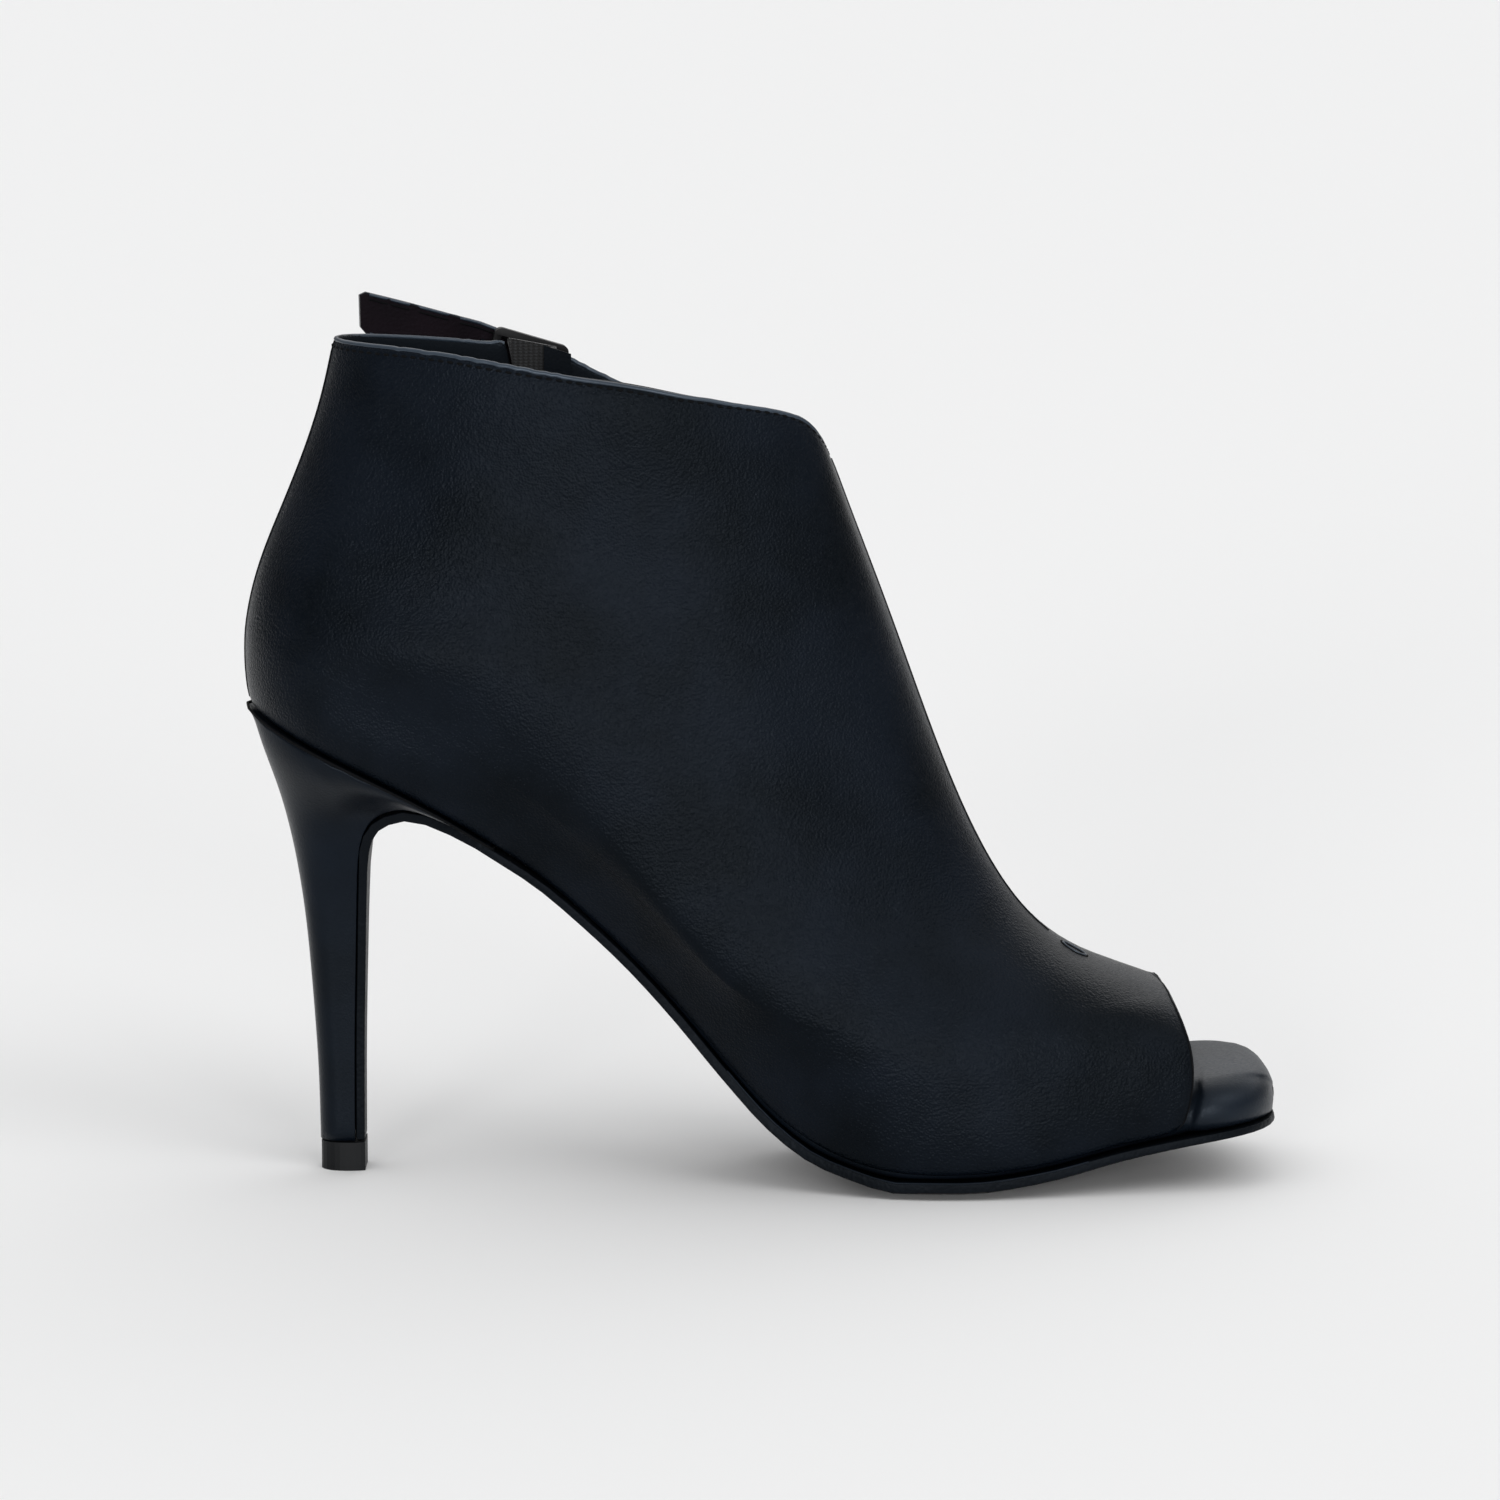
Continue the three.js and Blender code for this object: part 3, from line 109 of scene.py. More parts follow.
# Each lamp's direction from the shoe, the degrees of sky that it fills, and its strength
for name, toward, spread, strength in (
    ("lamp_above", (0.05, 0.1, 1.0), 130, 2.05),
    ("lamp_behind", (0.25, 0.85, 0.42), 50, 0.25),
    ("lamp_toe", (0.60, -0.50, 0.60), 36, 0.50),
    ("lamp_left", (-0.26, -0.95, 0.15), 12, 0.90),
    ("lamp_right", (0.31, -0.94, 0.15), 16, 0.85),
):
    lamp_data = bpy.data.lights.new(name, "SUN")
    lamp_data.angle = math.radians(spread)
    lamp_data.energy = strength
    lamp = bpy.data.objects.new(name, lamp_data)
    bpy.context.collection.objects.link(lamp)
    lamp.rotation_euler = Vector(toward).to_track_quat("Z", "Y").to_euler()


# Upper: black calf leather over a thin kid lining, lasted in one piece with a seam up the back and
# one up the front. It is cut open at the toe and, on the inner side, by the slit for the elastic
def select_only(piece):
    """Makes one piece the only selected one and the active one."""
    bpy.ops.object.select_all(action="DESELECT")
    piece.select_set(True)
    bpy.context.view_layer.objects.active = piece


def copy_solid(node, name):
    """A copy of a solid with its triangles merged into quads, as the start of a dressed piece."""
    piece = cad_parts[node].copy()
    piece.data = piece.data.copy()
    piece.name = name
    piece.data.materials.clear()
    bpy.context.collection.objects.link(piece)
    select_only(piece)
    bpy.ops.mesh.customdata_custom_splitnormals_clear()
    bpy.ops.object.mode_set(mode="EDIT")
    bpy.ops.mesh.select_all(action="SELECT")
    bpy.ops.mesh.remove_doubles(threshold=1e-6)
    bpy.ops.mesh.tris_convert_to_quads(
        face_threshold=math.radians(30), shape_threshold=math.radians(60))
    bpy.ops.object.mode_set(mode="OBJECT")
    return piece


def crease_edges(piece, angle, amount):
    """Creases the edges that turn by more than some degrees, so that a subdivision keeps them."""
    mesh = bmesh.new()
    mesh.from_mesh(piece.data)
    layer = mesh.edges.layers.float.get("crease_edge") or mesh.edges.layers.float.new("crease_edge")
    for edge in mesh.edges:
        if len(edge.link_faces) == 2 and edge.calc_face_angle() > math.radians(angle):
            edge[layer] = amount
    mesh.to_mesh(piece.data)
    mesh.free()


def subdivide(piece, levels):
    """Smooths a piece by subdivision, applied."""
    select_only(piece)
    smooth = piece.modifiers.new("smooth", "SUBSURF")
    smooth.levels = smooth.render_levels = levels
    bpy.ops.object.modifier_apply(modifier="smooth")
    bpy.ops.object.shade_smooth()


def shade_by_angle(piece, angle):
    """Shades a piece smooth, apart from the edges that turn by more than some degrees."""
    select_only(piece)
    bpy.ops.object.shade_smooth_by_angle(angle=math.radians(angle))


def calf_leather(name, dyes, grain, rough, relief, shine=0.2):
    """Leather, aniline-dyed and lightly finished: the grain's pebbles, as wide as given in metres,
    break up its satin gloss, and the dye drifts softly between two near colours."""
    dye_cloud = 0.0294
    pebble_share = 0.8
    material, shader = new_material(name)
    place = add_node(material, "ShaderNodeTexCoord").outputs["Object"]
    pebbles = add_node(material, "ShaderNodeTexVoronoi", {
        "feature": "SMOOTH_F1", "Scale": 1 / grain, "Smoothness": 0.5, "Randomness": 1.0},
        Vector=place).outputs["Distance"]
    wrinkles = add_node(material, "ShaderNodeTexNoise", {
        "Scale": 0.7 / grain, "Detail": 4.0, "Roughness": 0.6}, Vector=place).outputs["Fac"]
    cloudy = add_node(material, "ShaderNodeTexNoise", {
        "Scale": round(1 / dye_cloud), "Detail": 3.0, "Roughness": 0.55},
        Vector=place).outputs["Fac"]
    height = add_node(material, "ShaderNodeMath", {"operation": "MULTIPLY_ADD"},
                      in0=pebbles, in2=wrinkles)
    height.inputs[1].default_value = pebble_share
    bump = add_node(material, "ShaderNodeBump", {"Strength": relief, "Distance": grain * 0.5},
                    Height=height.outputs[0])
    material.node_tree.links.new(bump.outputs["Normal"], shader.inputs["Normal"])
    uneven = add_node(material, "ShaderNodeMapRange", {"From Min": 0.38, "From Max": 0.62},
                      Value=cloudy)
    # A colour mix has its two colours at inputs 6 and 7 and its result at output 2
    tint = add_node(material, "ShaderNodeMix", {"data_type": "RGBA"},
                    Factor=uneven.outputs["Result"])
    tint.inputs[6].default_value = linear(dyes[0])
    tint.inputs[7].default_value = linear(dyes[1])
    material.node_tree.links.new(tint.outputs[2], shader.inputs["Base Color"])
    gloss = add_node(material, "ShaderNodeMapRange", {
        "From Min": 0.3, "From Max": 0.7, "To Min": rough - 0.05, "To Max": rough + 0.07},
        Value=wrinkles)
    material.node_tree.links.new(gloss.outputs["Result"], shader.inputs["Roughness"])
    shader.inputs["IOR"].default_value = 1.45
    shader.inputs["Specular IOR Level"].default_value = shine
    shader.inputs["Specular Tint"].default_value = linear("#ccd9e8")
    return material


# Full-grain calf: a cool black with broad, dim highlights. Its grain of 0.3 mm would be too fine to
# show, so it is drawn half a millimetre wide
upper_calf = calf_leather(
    "black_calf_leather", ("#03060a", "#0a0f16"), grain=0.0005, rough=0.30, relief=0.6, shine=0.12)
# The same calf pulled tight over an edge or a mould: its grain is nearly pressed flat
smooth_calf = calf_leather(
    "black_smooth_calf", ("#05090f", "#0a1018"), grain=0.00045, rough=0.34, relief=0.14)
# Calf rolled round a cord, drawn as a thin bright line: its colour is painted lighter than the
# calf's, a painted highlight, and its gloss runs along the roll
rolled_calf = calf_leather(
    "black_rolled_calf", ("#1a222b", "#222b35"), grain=0.0005, rough=0.32, relief=0.1, shine=0.9)
# Unglazed kid: dull and soft, with no highlight
lining_kid = calf_leather(
    "black_kid_lining", ("#080b0f", "#0e1217"), grain=0.0005, rough=0.6, relief=0.3, shine=0.1)


def surface_of(piece):
    """The faces of a piece, to find places on it."""
    mesh = piece.data
    return BVHTree.FromPolygons([v.co.copy() for v in mesh.vertices],
                                [tuple(p.vertices) for p in mesh.polygons])


def edge_lines(piece, is_edge):
    """The edges of a piece whose two faces pass a test, joined end to end into lines of places,
    the longest first."""
    mesh = bmesh.new()
    mesh.from_mesh(piece.data)
    mesh.normal_update()
    mesh.edges.ensure_lookup_table()
    left = [edge for edge in mesh.edges if len(edge.link_faces) == 2 and is_edge(*edge.link_faces)]
    lines = []
    while left:
        edge = left.pop()
        line = list(edge.verts)
        for end in (0, -1):
            while True:
                found = next((e for e in line[end].link_edges if e in left), None)
                if found is None:
                    break
                left.remove(found)
                line.insert(0 if end == 0 else len(line), found.other_vert(line[end]))
        lines.append([v.co.copy() for v in line])
    mesh.free()
    return sorted(lines, key=len, reverse=True)


def evenly(line, pitch):
    """Places along a line at an even pitch."""
    places = [line[0].copy()]
    wait = pitch
    for low, high in zip(line, line[1:]):
        span = (high - low).length
        while wait <= span:
            places.append(low.lerp(high, wait / span))
            wait += pitch
        wait -= span
    return places


def beside(line, surface, distance, way):
    """A line on a surface that runs beside another one, on the side that a direction points to,
    as far off as a function of the place gives: its places and the surface's normals there."""
    result = []
    for i, place in enumerate(line):
        travel = (line[min(i + 1, len(line) - 1)] - line[max(i - 1, 0)]).normalized()
        normal = surface.find_nearest(place + 0.001 * Vector(way))[1]
        across = travel.cross(normal).normalized()
        if across.dot(Vector(way)) < 0:
            across.negate()
        near, normal, _, _ = surface.find_nearest(place + distance(place) * across)
        result.append((near, normal))
    return result


def cord(name, line, radius, material):
    """A round cord along a line, its ends closed."""
    data = bpy.data.curves.new(name, "CURVE")
    data.dimensions = "3D"
    data.bevel_depth = radius
    data.bevel_resolution = 2
    data.use_fill_caps = True
    spline = data.splines.new("POLY")
    spline.points.add(len(line) - 1)
    for point, place in zip(spline.points, line):
        point.co = (*place, 1)
    piece = bpy.data.objects.new(name, data)
    bpy.context.collection.objects.link(piece)
    select_only(piece)
    bpy.ops.object.convert(target="MESH")
    piece = bpy.context.object
    piece.name = name
    bpy.ops.object.shade_smooth()
    piece.data.materials.clear()
    piece.data.materials.append(material)
    return piece


def stitches(name, line, length, pitch, radius, material):
    """A row of stitches: short rounded threads, sunk by a quarter of their radius into a line of
    places and normals."""
    places = [place - 0.25 * radius * normal for place, normal in line]
    mesh = bmesh.new()
    row = evenly(places, pitch)
    for low, high in zip(row, row[1:]):
        travel = (high - low).normalized()
        turn = travel.to_track_quat("X", "Z").to_matrix().to_4x4()
        size = Matrix.Diagonal((length / 2, radius, radius, 1))
        bmesh.ops.create_icosphere(mesh, subdivisions=2, radius=1,
                                   matrix=Matrix.Translation(low.lerp(high, 0.5)) @ turn @ size)
    data = bpy.data.meshes.new(name)
    mesh.to_mesh(data)
    mesh.free()
    piece = bpy.data.objects.new(name, data)
    bpy.context.collection.objects.link(piece)
    select_only(piece)
    bpy.ops.object.shade_smooth()
    data.materials.append(material)
    return piece


def dress(piece):
    """Attaches a piece that no solid stands for to the shoe's root, so that it moves with the shoe.
    """
    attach(piece, "root")


upper = copy_solid("upper", "upper_shell")
upper.data.materials.append(upper_calf)
upper.data.materials.append(lining_kid)
# Middle line of the foot inside, from the ankle to the toes: what faces it is lining
foot_line = [Vector(p) for p in (
    (0.042, 0, 0.185), (0.038, 0, 0.125), (0.075, 0, 0.090), (0.118, 0, 0.048), (0.185, 0, 0.026))]
collar_from = 0.140     # every face of the wall's top edge lies higher than this
lip_from = 0.165        # and every face of the toe opening's edge lies further forward than this


def nearest_on_foot(point):
    """The nearest point of the foot's middle line."""
    best = None
    for low, high in zip(foot_line, foot_line[1:]):
        way = high - low
        share = min(1, max(0, (point - low).dot(way) / way.length_squared))
        near = low + share * way
        if best is None or (near - point).length < (best - point).length:
            best = near
    return best


def is_rim(face):
    """Whether a face belongs to the top edge of the upper's wall."""
    return face.normal.z > 0.7 and face.calc_center_median().z > collar_from


def is_lip(face):
    """Whether a face belongs to the edge of the toe opening."""
    forward = face.normal.x > 0.6 and abs(face.normal.y) < 0.75
    return forward and face.calc_center_median().x > lip_from


def is_outside(face):
    """Whether a face of the upper looks away from the foot."""
    centre = face.calc_center_median()
    return face.normal.dot(centre - nearest_on_foot(centre)) > 0


def is_topline(one, other):
    """Whether the edge between two faces is the upper's outer top edge."""
    if is_rim(other):
        one, other = other, one
    return is_rim(one) and not is_rim(other) and is_outside(other)


def is_opening_edge(one, other):
    """Whether the edge between two faces is the outer edge of the toe opening."""
    if is_lip(other):
        one, other = other, one
    return is_lip(one) and not is_lip(other) and is_outside(other)


topline = edge_lines(upper, is_topline)[0]
opening_edge = edge_lines(upper, is_opening_edge)[0]
for face in upper.data.polygons:
    outward = face.normal.dot(face.center - nearest_on_foot(face.center))
    rim = face.normal.z > 0.7 and face.center.z > collar_from
    face.material_index = 0 if outward > 0 or rim else 1
crease_edges(upper, angle=50, amount=0.55)
subdivide(upper, 2)
# The leather is stretched smooth over the inner side of the toes, behind the opening's edge
for vertex in upper.data.vertices:
    vertex.select = 0.095 < vertex.co.x < 0.166 and vertex.co.y > 0.008 and vertex.co.z < 0.050
select_only(upper)
bpy.ops.object.mode_set(mode="EDIT")
bpy.ops.mesh.vertices_smooth(factor=0.5, repeat=20)
bpy.ops.object.mode_set(mode="OBJECT")

# Soft folds of the leather in millimetres: where their middle lies in the side view, their half
# lengths along and across, the degrees that they slope from the ground, how far they rise, and
# their side: -1 is the outer side of the shoe and 1 the inner one
folds = (
    {"x": 16, "z": 113, "along": 17, "across": 7, "angle": -12, "rise": 1.6, "side": -1},
    {"x": 12, "z": 99, "along": 16, "across": 6, "angle": -20, "rise": -1.0, "side": -1},
    {"x": 12, "z": 150, "along": 11, "across": 14, "angle": -8, "rise": -1.0, "side": -1},
    {"x": 62, "z": 161, "along": 13, "across": 9, "angle": -40, "rise": 1.0, "side": -1},
    {"x": 48, "z": 139, "along": 26, "across": 6, "angle": -38, "rise": -0.5, "side": -1},
    {"x": 44, "z": 98, "along": 30, "across": 9, "angle": -30, "rise": 0.6, "side": -1},
    {"x": 100, "z": 92, "along": 24, "across": 7, "angle": -58, "rise": -0.8, "side": -1},
    {"x": 88, "z": 104, "along": 22, "across": 8, "angle": -60, "rise": 0.6, "side": -1},
    {"x": 150, "z": 28, "along": 14, "across": 3.5, "angle": 78, "rise": 0.18, "side": -1},
    {"x": 166, "z": 26, "along": 14, "across": 3.0, "angle": 84, "rise": 0.16, "side": -1},
    {"x": 158, "z": 26, "along": 14, "across": 3.2, "angle": 80, "rise": -0.15, "side": -1},
    {"x": 140, "z": 22, "along": 20, "across": 5, "angle": 8, "rise": -0.4, "side": -1},
    {"x": 14, "z": 112, "along": 17, "across": 7, "angle": -10, "rise": 0.8, "side": 1},
    {"x": 92, "z": 98, "along": 24, "across": 7, "angle": -58, "rise": -0.7, "side": 1},
    {"x": 70, "z": 118, "along": 18, "across": 8, "angle": -50, "rise": 0.6, "side": 1},
    {"x": 156, "z": 28, "along": 12, "across": 3.5, "angle": 75, "rise": 0.5, "side": 1},
)
fold_fade = 0.010       # the folds die away this near to the shoe's middle plane


def fold(piece, rows):
    """Raises or sinks the leather along its normals by a soft bell over each fold's place."""
    outside = {v for face in piece.data.polygons if face.material_index == 0 for v in face.vertices}
    moves = {}
    for i in outside:
        vertex = piece.data.vertices[i]
        move = 0
        for row in rows:
            if vertex.co.y * row["side"] <= 0:
                continue
            dx = 1000 * vertex.co.x - row["x"]
            dz = 1000 * vertex.co.z - row["z"]
            turn = math.radians(row["angle"])
            along = (dx * math.cos(turn) + dz * math.sin(turn)) / row["along"]
            across = (dz * math.cos(turn) - dx * math.sin(turn)) / row["across"]
            middle = min(1, abs(vertex.co.y) / fold_fade)
            move += row["rise"] * middle * math.exp(-along * along - across * across)
        moves[i] = vertex.co + 0.001 * move * vertex.normal
    for i, place in moves.items():
        piece.data.vertices[i].co = place


fold(upper, folds)
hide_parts("upper")
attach(upper, "root")

# Topline: the collar's edge is leather rolled over a thin cord, which leaves a round bead, and it
# is sewn down with one row of lockstitch in black bonded thread, about two millimetres below
upper_surface = surface_of(upper)
# Bonded nylon thread: matt, and darker than the leather that it holds. The same matt black also
# draws painted shade: thin dark cords in grooves and closed seams
thread_and_groove_shade, shader = new_material("black_thread_and_groove_shade")
shader.inputs["Base Color"].default_value = linear("#030406")
shader.inputs["Roughness"].default_value = 0.75
shader.inputs["Specular IOR Level"].default_value = 0.1
edge_step = 0.0012
bead_radius = 0.00055
bead_inset = 0.0003
stitch = {"length": 0.0015, "pitch": 0.0021, "radius": 0.00032}
seam_drop = {"front": 0.0019, "more_at_back": 0.0004, "from": 0.050, "over": 0.030}


def seam_distance(place):
    """How far below the topline its stitches run: a little further at the back of the shoe."""
    back = min(1, max(0, (seam_drop["from"] - place.x) / seam_drop["over"]))
    return seam_drop["front"] + seam_drop["more_at_back"] * back


topline = evenly(topline, edge_step)
bead_line = beside(topline, upper_surface, lambda place: bead_inset, (0, 0, -1))
bead_line = [place - bead_inset * normal for place, normal in bead_line]
# The bead is drawn in the lighter rolled calf: its bright line is a painted highlight
dress(cord("topline_bead_0", bead_line, bead_radius, rolled_calf))
seam_line = beside(topline, upper_surface, seam_distance, (0, 0, -1))
seam = stitches("topline_stitches_0", seam_line, **stitch, material=thread_and_groove_shade)
dress(seam)

# Toe opening: the leather's edge is turned in over the lining and stitched from inside, which
# draws a fine groove a millimetre behind it. The groove's shade is painted as a thin dark cord
opening_seam = {"distance": 0.0011, "radius": 0.00018}
opening_edge = evenly(opening_edge, edge_step)
seam_line = beside(opening_edge, upper_surface, lambda place: opening_seam["distance"], (-1, 0, 0))
groove_line = [place for place, normal in seam_line]
groove = cord("opening_groove_shade_0", groove_line, opening_seam["radius"], thread_and_groove_shade)
dress(groove)


# Seams up the back and up the front, where the leather's edges are joined right sides together and
# turned: each is drawn as one thin dark cord, painted shade in the seam's crease. The front one
# ends in a small oval on the vamp
def cast(surface, origin, toward):
    """The first place on a surface that a ray meets, from an origin in a direction."""
    return surface.ray_cast(Vector(origin), Vector(toward))[0]


seam_radius = 0.00024
seam_step = 0.002
far_off = 0.3           # the rays that find the seams start this far behind the shoe or ahead
high_up = 0.2           # and those that come from above start at this height
back_row = {"y": -0.0030, "top": 0.1745, "steps": 42}
heights = [back_row["top"] - seam_step * i for i in range(back_row["steps"])]
back_seam_shade = [cast(upper_surface, (-far_off, back_row["y"], z), (1, 0, 0)) for z in heights]
back_seam_shade = [place for place in back_seam_shade if place]
dress(cord("back_seam_shade", back_seam_shade, seam_radius, thread_and_groove_shade))

# The front seam is found from in front as far as the vamp, and on the vamp from above
front_row = {"y": -0.0022, "top": 0.150, "steps": 45}
vamp_row = {"from": 0.140, "to": 0.1475, "step": 0.001}
heights = [front_row["top"] - seam_step * i for i in range(front_row["steps"])]
front_seam_shade = [cast(upper_surface, (far_off, front_row["y"], z), (-1, 0, 0)) for z in heights]
front_seam_shade = [place for place in front_seam_shade if place and place.x < vamp_row["from"]]
vamp_start = front_seam_shade[-1].x
vamp_steps = round((vamp_row["to"] - vamp_start) / vamp_row["step"])
for i in range(1, 1 + vamp_steps):
    start = (vamp_start + vamp_row["step"] * i, front_row["y"], high_up)
    front_seam_shade.append(cast(upper_surface, start, (0, 0, -1)))
dress(cord("front_seam_shade", front_seam_shade, seam_radius, thread_and_groove_shade))
oval_middle = Vector((0.1530, -0.0044, high_up))
oval_sides = 40


def oval_line(length, width, lift):
    """An oval on the vamp from its half length and half width, lifted off the leather."""
    line = []
    for i in range(oval_sides + 1):
        turn = 2 * math.pi * i / oval_sides
        start = oval_middle + Vector((length * math.cos(turn), width * math.sin(turn), 0))
        line.append(cast(upper_surface, start, (0, 0, -1)) + Vector((0, 0, lift)))
    return line


# The oval is drawn as three cords: an outer dark one, painted shade in its groove; a lighter rim in
# the rolled calf, a painted highlight; and an inner dark one, painted shade in the seam
for name, length, width, lift, radius, finish in (
    ("oval_groove_shade", 0.0028, 0.0022, 0.0, 0.00018, thread_and_groove_shade),
    ("oval_rim_highlight", 0.0024, 0.0018, 0.0001, 0.00026, rolled_calf),
    ("oval_seam_shade", 0.0019, 0.0013, 0.0, 0.00020, thread_and_groove_shade),
):
    dress(cord(name, oval_line(length, width, lift), radius, finish))

# Heel: a moulded plastic stiletto, wrapped in the same calf leather, which is turned in under the
# shoe's seat. The joint there is drawn as a dark cord round the top of the cover, painted shade in
# its groove
heel = copy_solid("heel", "covered_heel")
heel.data.materials.append(smooth_calf)
cover_from = 0.062      # the cover's upper edge lies higher than this all round
seat_groove = {"step": 0.002, "radius": 0.0003}


def is_seat_edge(one, other):
    """Whether the edge between two faces is the upper edge of the heel's cover."""
    if one.normal.z < other.normal.z:
        one, other = other, one
    level = one.normal.z > 0.55 and other.normal.z < 0.35
    return level and one.calc_center_median().z > cover_from


seat_edge = edge_lines(heel, is_seat_edge)[0]
crease_edges(heel, angle=40, amount=0.8)
subdivide(heel, 1)
groove_line = evenly(seat_edge, seat_groove["step"])
dress(cord("seat_groove_shade_0", groove_line, seat_groove["radius"], thread_and_groove_shade))
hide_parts("heel")
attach(heel, "root")

# Top piece: the small block that the heel stands on, moulded from black polyurethane and pinned
# to the heel's foot from within, so that no nail shows
top_piece = copy_solid("top_piece", "heel_tip")
# Moulded polyurethane: even and half matt, like hard rubber
heel_plastic, shader = new_material("moulded_polyurethane")
shader.inputs["Base Color"].default_value = linear("#06080b")
shader.inputs["Roughness"].default_value = 0.5
shader.inputs["Specular IOR Level"].default_value = 0.2
top_piece.data.materials.append(heel_plastic)
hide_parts("top_piece")
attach(top_piece, "root")

# Outsole: one strip of leather, cemented on, its edge and top painted black and its tread bare. A
# narrow rand lies along the upper edge of the forepart, and the flap at the rear end is glued
# down the heel's front
outsole = copy_solid("outsole", "leather_outsole")
flap = {"up_to": 0.045, "facing": (-0.7, 0, 0.7), "rise": 0.00035}
for vertex in outsole.data.vertices:
    on_heel = vertex.co.x < flap["up_to"]
    if on_heel and vertex.normal.dot(Vector(flap["facing"])) > 0.5:
        vertex.co += flap["rise"] * vertex.normal
sole_side_from = 0.036  # the sole's side is free of the heel ahead of this
rand = {"from": 0.080, "to": 0.156, "step": 0.0015, "radius": 0.00022}
tread_from = 0.07       # the tread is bare ahead of this


def is_sole_edge(one, other):
    """Whether the edge between two faces is the upper edge of the sole's side, ahead of the heel."""
    if abs(one.normal.z) > abs(other.normal.z):
        one, other = other, one
    side = abs(one.normal.z) < 0.4 and abs(one.normal.y) > 0.2
    ahead = one.calc_center_median().x > sole_side_from
    return side and ahead and other.normal.z > 0.45


def round_edges(piece, width):
    """Rounds the sharp edges of a piece by a bevel, applied, and shades it smooth."""
    rounded = piece.modifiers.new("rounded", "BEVEL")
    rounded.width = width
    rounded.segments = 3
    rounded.angle_limit = math.radians(50)
    select_only(piece)
    bpy.ops.object.modifier_apply(modifier="rounded")
    shade_by_angle(piece, 40)


sole_edges = edge_lines(outsole, is_sole_edge)
# Edge paint, brushed on thick: it fills the cut leather's pores and shines less than the calf
edge_paint = calf_leather(
    "black_edge_paint", ("#05070a", "#0a0d11"), grain=0.0009, rough=0.45, relief=0.25, shine=0.12)
# Bare sole leather, a little worn: dark grey-brown and dull, with an open grain
tread_leather = calf_leather(
    "worn_sole_leather", ("#211f1f", "#322d2b"), grain=0.0012, rough=0.6, relief=0.7)
outsole.data.materials.append(edge_paint)
outsole.data.materials.append(tread_leather)
round_edges(outsole, 0.00045)
for face in outsole.data.polygons:
    face.material_index = 1 if face.normal.z < -0.25 and face.center.x > tread_from else 0
for number, line in enumerate(sole_edges[:2]):
    line = [place for place in evenly(line, rand["step"]) if rand["from"] < place.x < rand["to"]]
    dress(cord(f"sole_rand_{number}", line, rand["radius"], smooth_calf))
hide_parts("outsole")
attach(outsole, "root")

# Insole: a board padded with foam and wrapped in soft calf leather, which shows at the open toe.
# The foam swells where the upper stops pressing on it
insole = copy_solid("insole", "padded_insole")
# Soft insole calf: smoother and a little brighter than the upper, with a satin gloss
insole_calf = calf_leather(
    "black_insole_calf", ("#0b1016", "#121922"), grain=0.00045, rough=0.40, relief=0.12, shine=0.30)
insole.data.materials.append(insole_calf)
subdivide(insole, 2)
toe_swell = {"x": 0.181, "along": 0.012, "rise": 0.0014}
swells = []
for vertex in insole.data.vertices:
    along = (vertex.co.x - toe_swell["x"]) / toe_swell["along"]
    swells.append(toe_swell["rise"] * math.exp(-along * along) * max(0, vertex.normal.z))
for vertex, swell in zip(insole.data.vertices, swells):
    vertex.co.z += swell
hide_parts("insole")
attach(insole, "root")

# Gusset: black knit elastic behind the slit, sewn in under its edges. Its ribs run up and down and
# its courses across, and its top edge stands a millimetre higher than its solid
gusset = copy_solid("gusset", "knit_gusset")
rib_pitch = 0.0011
course_pitch = 0.0007
gusset_top = 0.160
gusset_rise = 0.0010


def bands(pitch):
    """The scale of a wave texture whose bands lie a pitch apart: at scale 1 a metre is 20 radians."""
    return round(2 * math.pi / (20 * pitch))


# Covered rubber thread, knitted: matt, with a faint bloom of fibres; its colour is painted darker
# in the gaps between loops, as their shade
elastic_knit, shader = new_material("black_elastic_knit")
place = add_node(elastic_knit, "ShaderNodeTexCoord").outputs["Object"]
rib = add_node(elastic_knit, "ShaderNodeTexWave", {
    "wave_type": "BANDS", "bands_direction": "X", "Scale": bands(rib_pitch)},
    Vector=place).outputs["Fac"]
course = add_node(elastic_knit, "ShaderNodeTexWave", {
    "wave_type": "BANDS", "bands_direction": "Z", "Scale": bands(course_pitch), "Distortion": 0.6},
    Vector=place).outputs["Fac"]
loops = add_node(elastic_knit, "ShaderNodeMath", {"operation": "MULTIPLY"}, in0=rib, in1=course)
bump = add_node(elastic_knit, "ShaderNodeBump", {"Strength": 0.9, "Distance": 0.0004},
                Height=loops.outputs[0])
elastic_knit.node_tree.links.new(bump.outputs["Normal"], shader.inputs["Normal"])
yarn_and_gap_shade = add_node(elastic_knit, "ShaderNodeMix", {"data_type": "RGBA"}, Factor=loops.outputs[0])
yarn_and_gap_shade.inputs[6].default_value = linear("#050506")
yarn_and_gap_shade.inputs[7].default_value = linear("#181b1f")
elastic_knit.node_tree.links.new(yarn_and_gap_shade.outputs[2], shader.inputs["Base Color"])
shader.inputs["Roughness"].default_value = 0.85
shader.inputs["Sheen Weight"].default_value = 0.2
gusset.data.materials.append(elastic_knit)
gusset_surface = surface_of(gusset)
for vertex in gusset.data.vertices:
    if vertex.co.z > gusset_top and vertex.normal.z > 0.3:
        vertex.co.z += gusset_rise
shade_by_angle(gusset, 35)
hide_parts("gusset")
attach(gusset, "root")

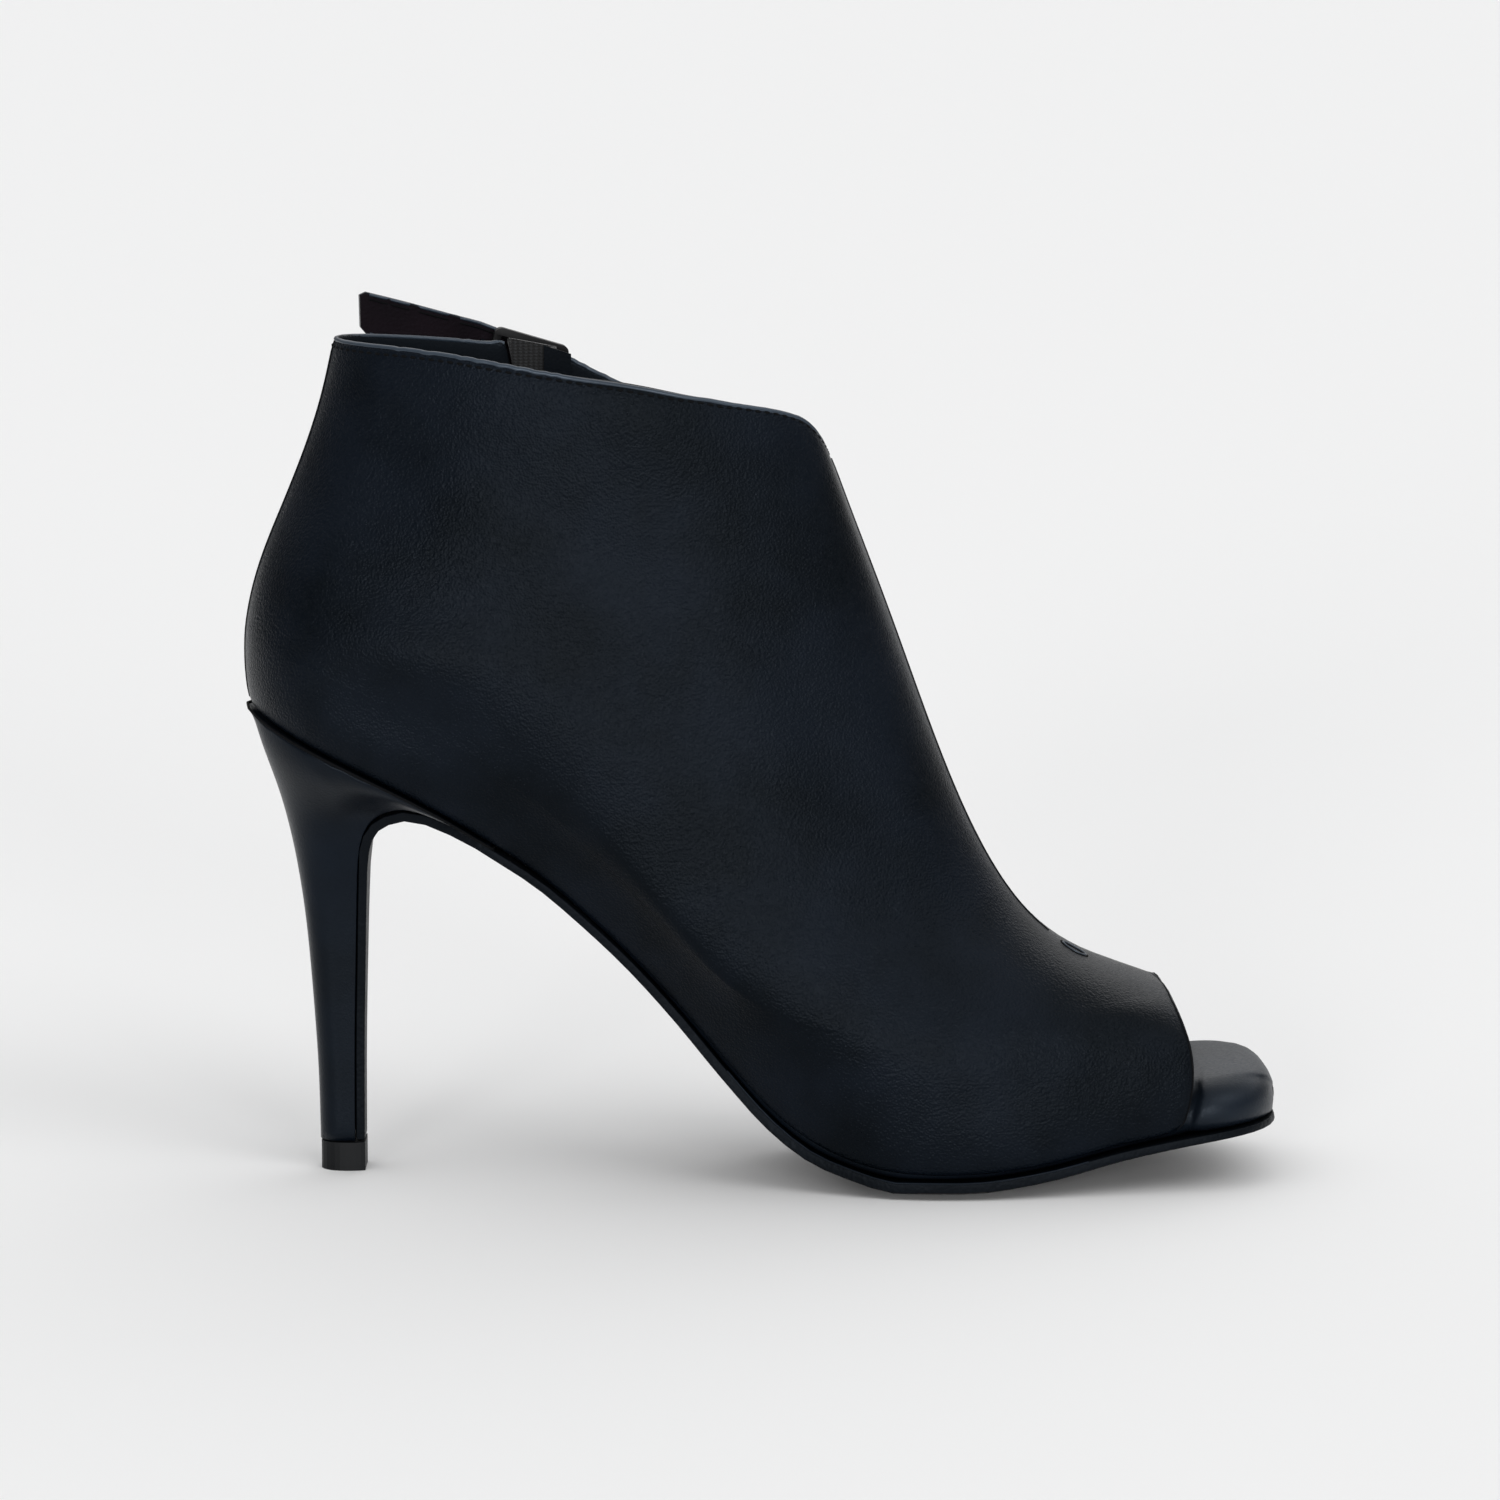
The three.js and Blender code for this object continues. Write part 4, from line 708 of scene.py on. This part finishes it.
# Slit shade: a thin dark sheet of the kid lining along the slit's front edge, laid over the
# elastic's edge inside the shoe as painted shade where the elastic falls into shadow behind that
# edge. Its top edge slopes down towards the toe
facing = {"from": 0.0418, "to": 0.0475, "foot": 0.150, "top": 0.1711, "slope": 0.32,
          "thick": 0.0006, "off": 0.0008}
elastic_ends = {"x": 0.0435, "z": 0.166}    # past these the elastic's face is carried straight on
bpy.ops.object.select_all(action="DESELECT")
bpy.ops.mesh.primitive_grid_add(x_subdivisions=6, y_subdivisions=8, size=1, location=(0, 0, 0))
slit_facing = bpy.context.object
slit_facing.name = "slit_facing"
for vertex in slit_facing.data.vertices:
    x = facing["from"] + (facing["to"] - facing["from"]) * (vertex.co.x + 0.5)
    top = facing["top"] - facing["slope"] * (x - facing["from"])
    z = facing["foot"] + (top - facing["foot"]) * (vertex.co.y + 0.5)
    start = (min(x, elastic_ends["x"]), -0.1, min(z, elastic_ends["z"]))
    place = cast(gusset_surface, start, (0, 1, 0))
    vertex.co = Vector((x, place.y - facing["off"], z))
slit_facing.data.materials.append(lining_kid)
thick = slit_facing.modifiers.new("thick", "SOLIDIFY")
thick.thickness = facing["thick"]
bpy.ops.object.modifier_apply(modifier="thick")
shade_by_angle(slit_facing, 35)
dress(slit_facing)

# Strap: calf leather turned over its edges on a thin lining and stitched along both of them, sewn
# to the front of the upper and passed through the buckle, with a free tail
strap = copy_solid("strap", "buckled_strap")
# Thin dyed sheepskin: a dull plum black beside the cool black of the calf
strap_lining = calf_leather(
    "plum_black_lining", ("#0e090c", "#181015"), grain=0.0006, rough=0.65, relief=0.4, shine=0.1)
strap.data.materials.append(smooth_calf)
strap.data.materials.append(strap_lining)
for face in strap.data.polygons:
    face.material_index = 1 if face.normal.y < -0.75 else 0
shade_by_angle(strap, 35)
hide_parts("strap")
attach(strap, "root")
strap_surface = surface_of(strap)
# The turned edges are found by rays from the outer side, every millimetre along the strap and
# every tenth of one up it, and lie a little inside its outline
along_strap = {"from": 0.0052, "step": 0.001, "steps": 72}
up_strap = {"from": 0.135, "step": 0.0001, "steps": 520}
turned_edge = {"inset": 0.0003, "radius": 0.00036}
edge_seam = {"inset": 0.0010, "radius": 0.00022, "proud": 0.0001}
heights = [up_strap["from"] + up_strap["step"] * i for i in range(up_strap["steps"])]
turned_edges = {1: [], -1: []}
for i in range(along_strap["steps"]):
    x = along_strap["from"] + along_strap["step"] * i
    rays = [cast(strap_surface, (x, -0.1, z), (0, 1, 0)) for z in heights]
    hits = [place for place in rays if place]
    if hits:
        turned_edges[1].append(hits[-1] + Vector((0, 0, -turned_edge["inset"])))
        turned_edges[-1].append(hits[0] + Vector((0, 0, turned_edge["inset"])))
# The turned edges are drawn in the lighter rolled calf, a painted highlight along them
for side, line in turned_edges.items():
    dress(cord(f"strap_edge_{side}", line, turned_edge["radius"], rolled_calf))
    inward = Vector((0, -edge_seam["proud"], -edge_seam["inset"] * side))
    seam_line = [place + inward for place in line]
    seam = cord(f"strap_edge_seam_{side}", seam_line, edge_seam["radius"], thread_and_groove_shade)
    dress(seam)

# Buckle: a plain rectangular frame, cast in zinc, tumbled until its edges are round and coated
# black. The tab holds its rear bar, and the strap runs over that bar and under the front one
buckle = copy_solid("buckle", "buckle_frame")
# Baked black enamel on zinc: half metallic and half matt, without the blue of the leather
buckle_enamel, shader = new_material("black_coated_zinc")
shader.inputs["Base Color"].default_value = linear("#0c0c0e")
shader.inputs["Metallic"].default_value = 0.6
shader.inputs["Roughness"].default_value = 0.4
buckle.data.materials.append(buckle_enamel)
round_edges(buckle, 0.00035)
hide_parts("buckle")
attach(buckle, "root")

# Tab: a short band of the same calf leather, folded round the buckle's rear bar and sewn down flat
# on the upper behind the slit
tab = copy_solid("buckle_tab", "strap_tab")
tab.data.materials.append(smooth_calf)
shade_by_angle(tab, 35)
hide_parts("buckle_tab")
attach(tab, "root")
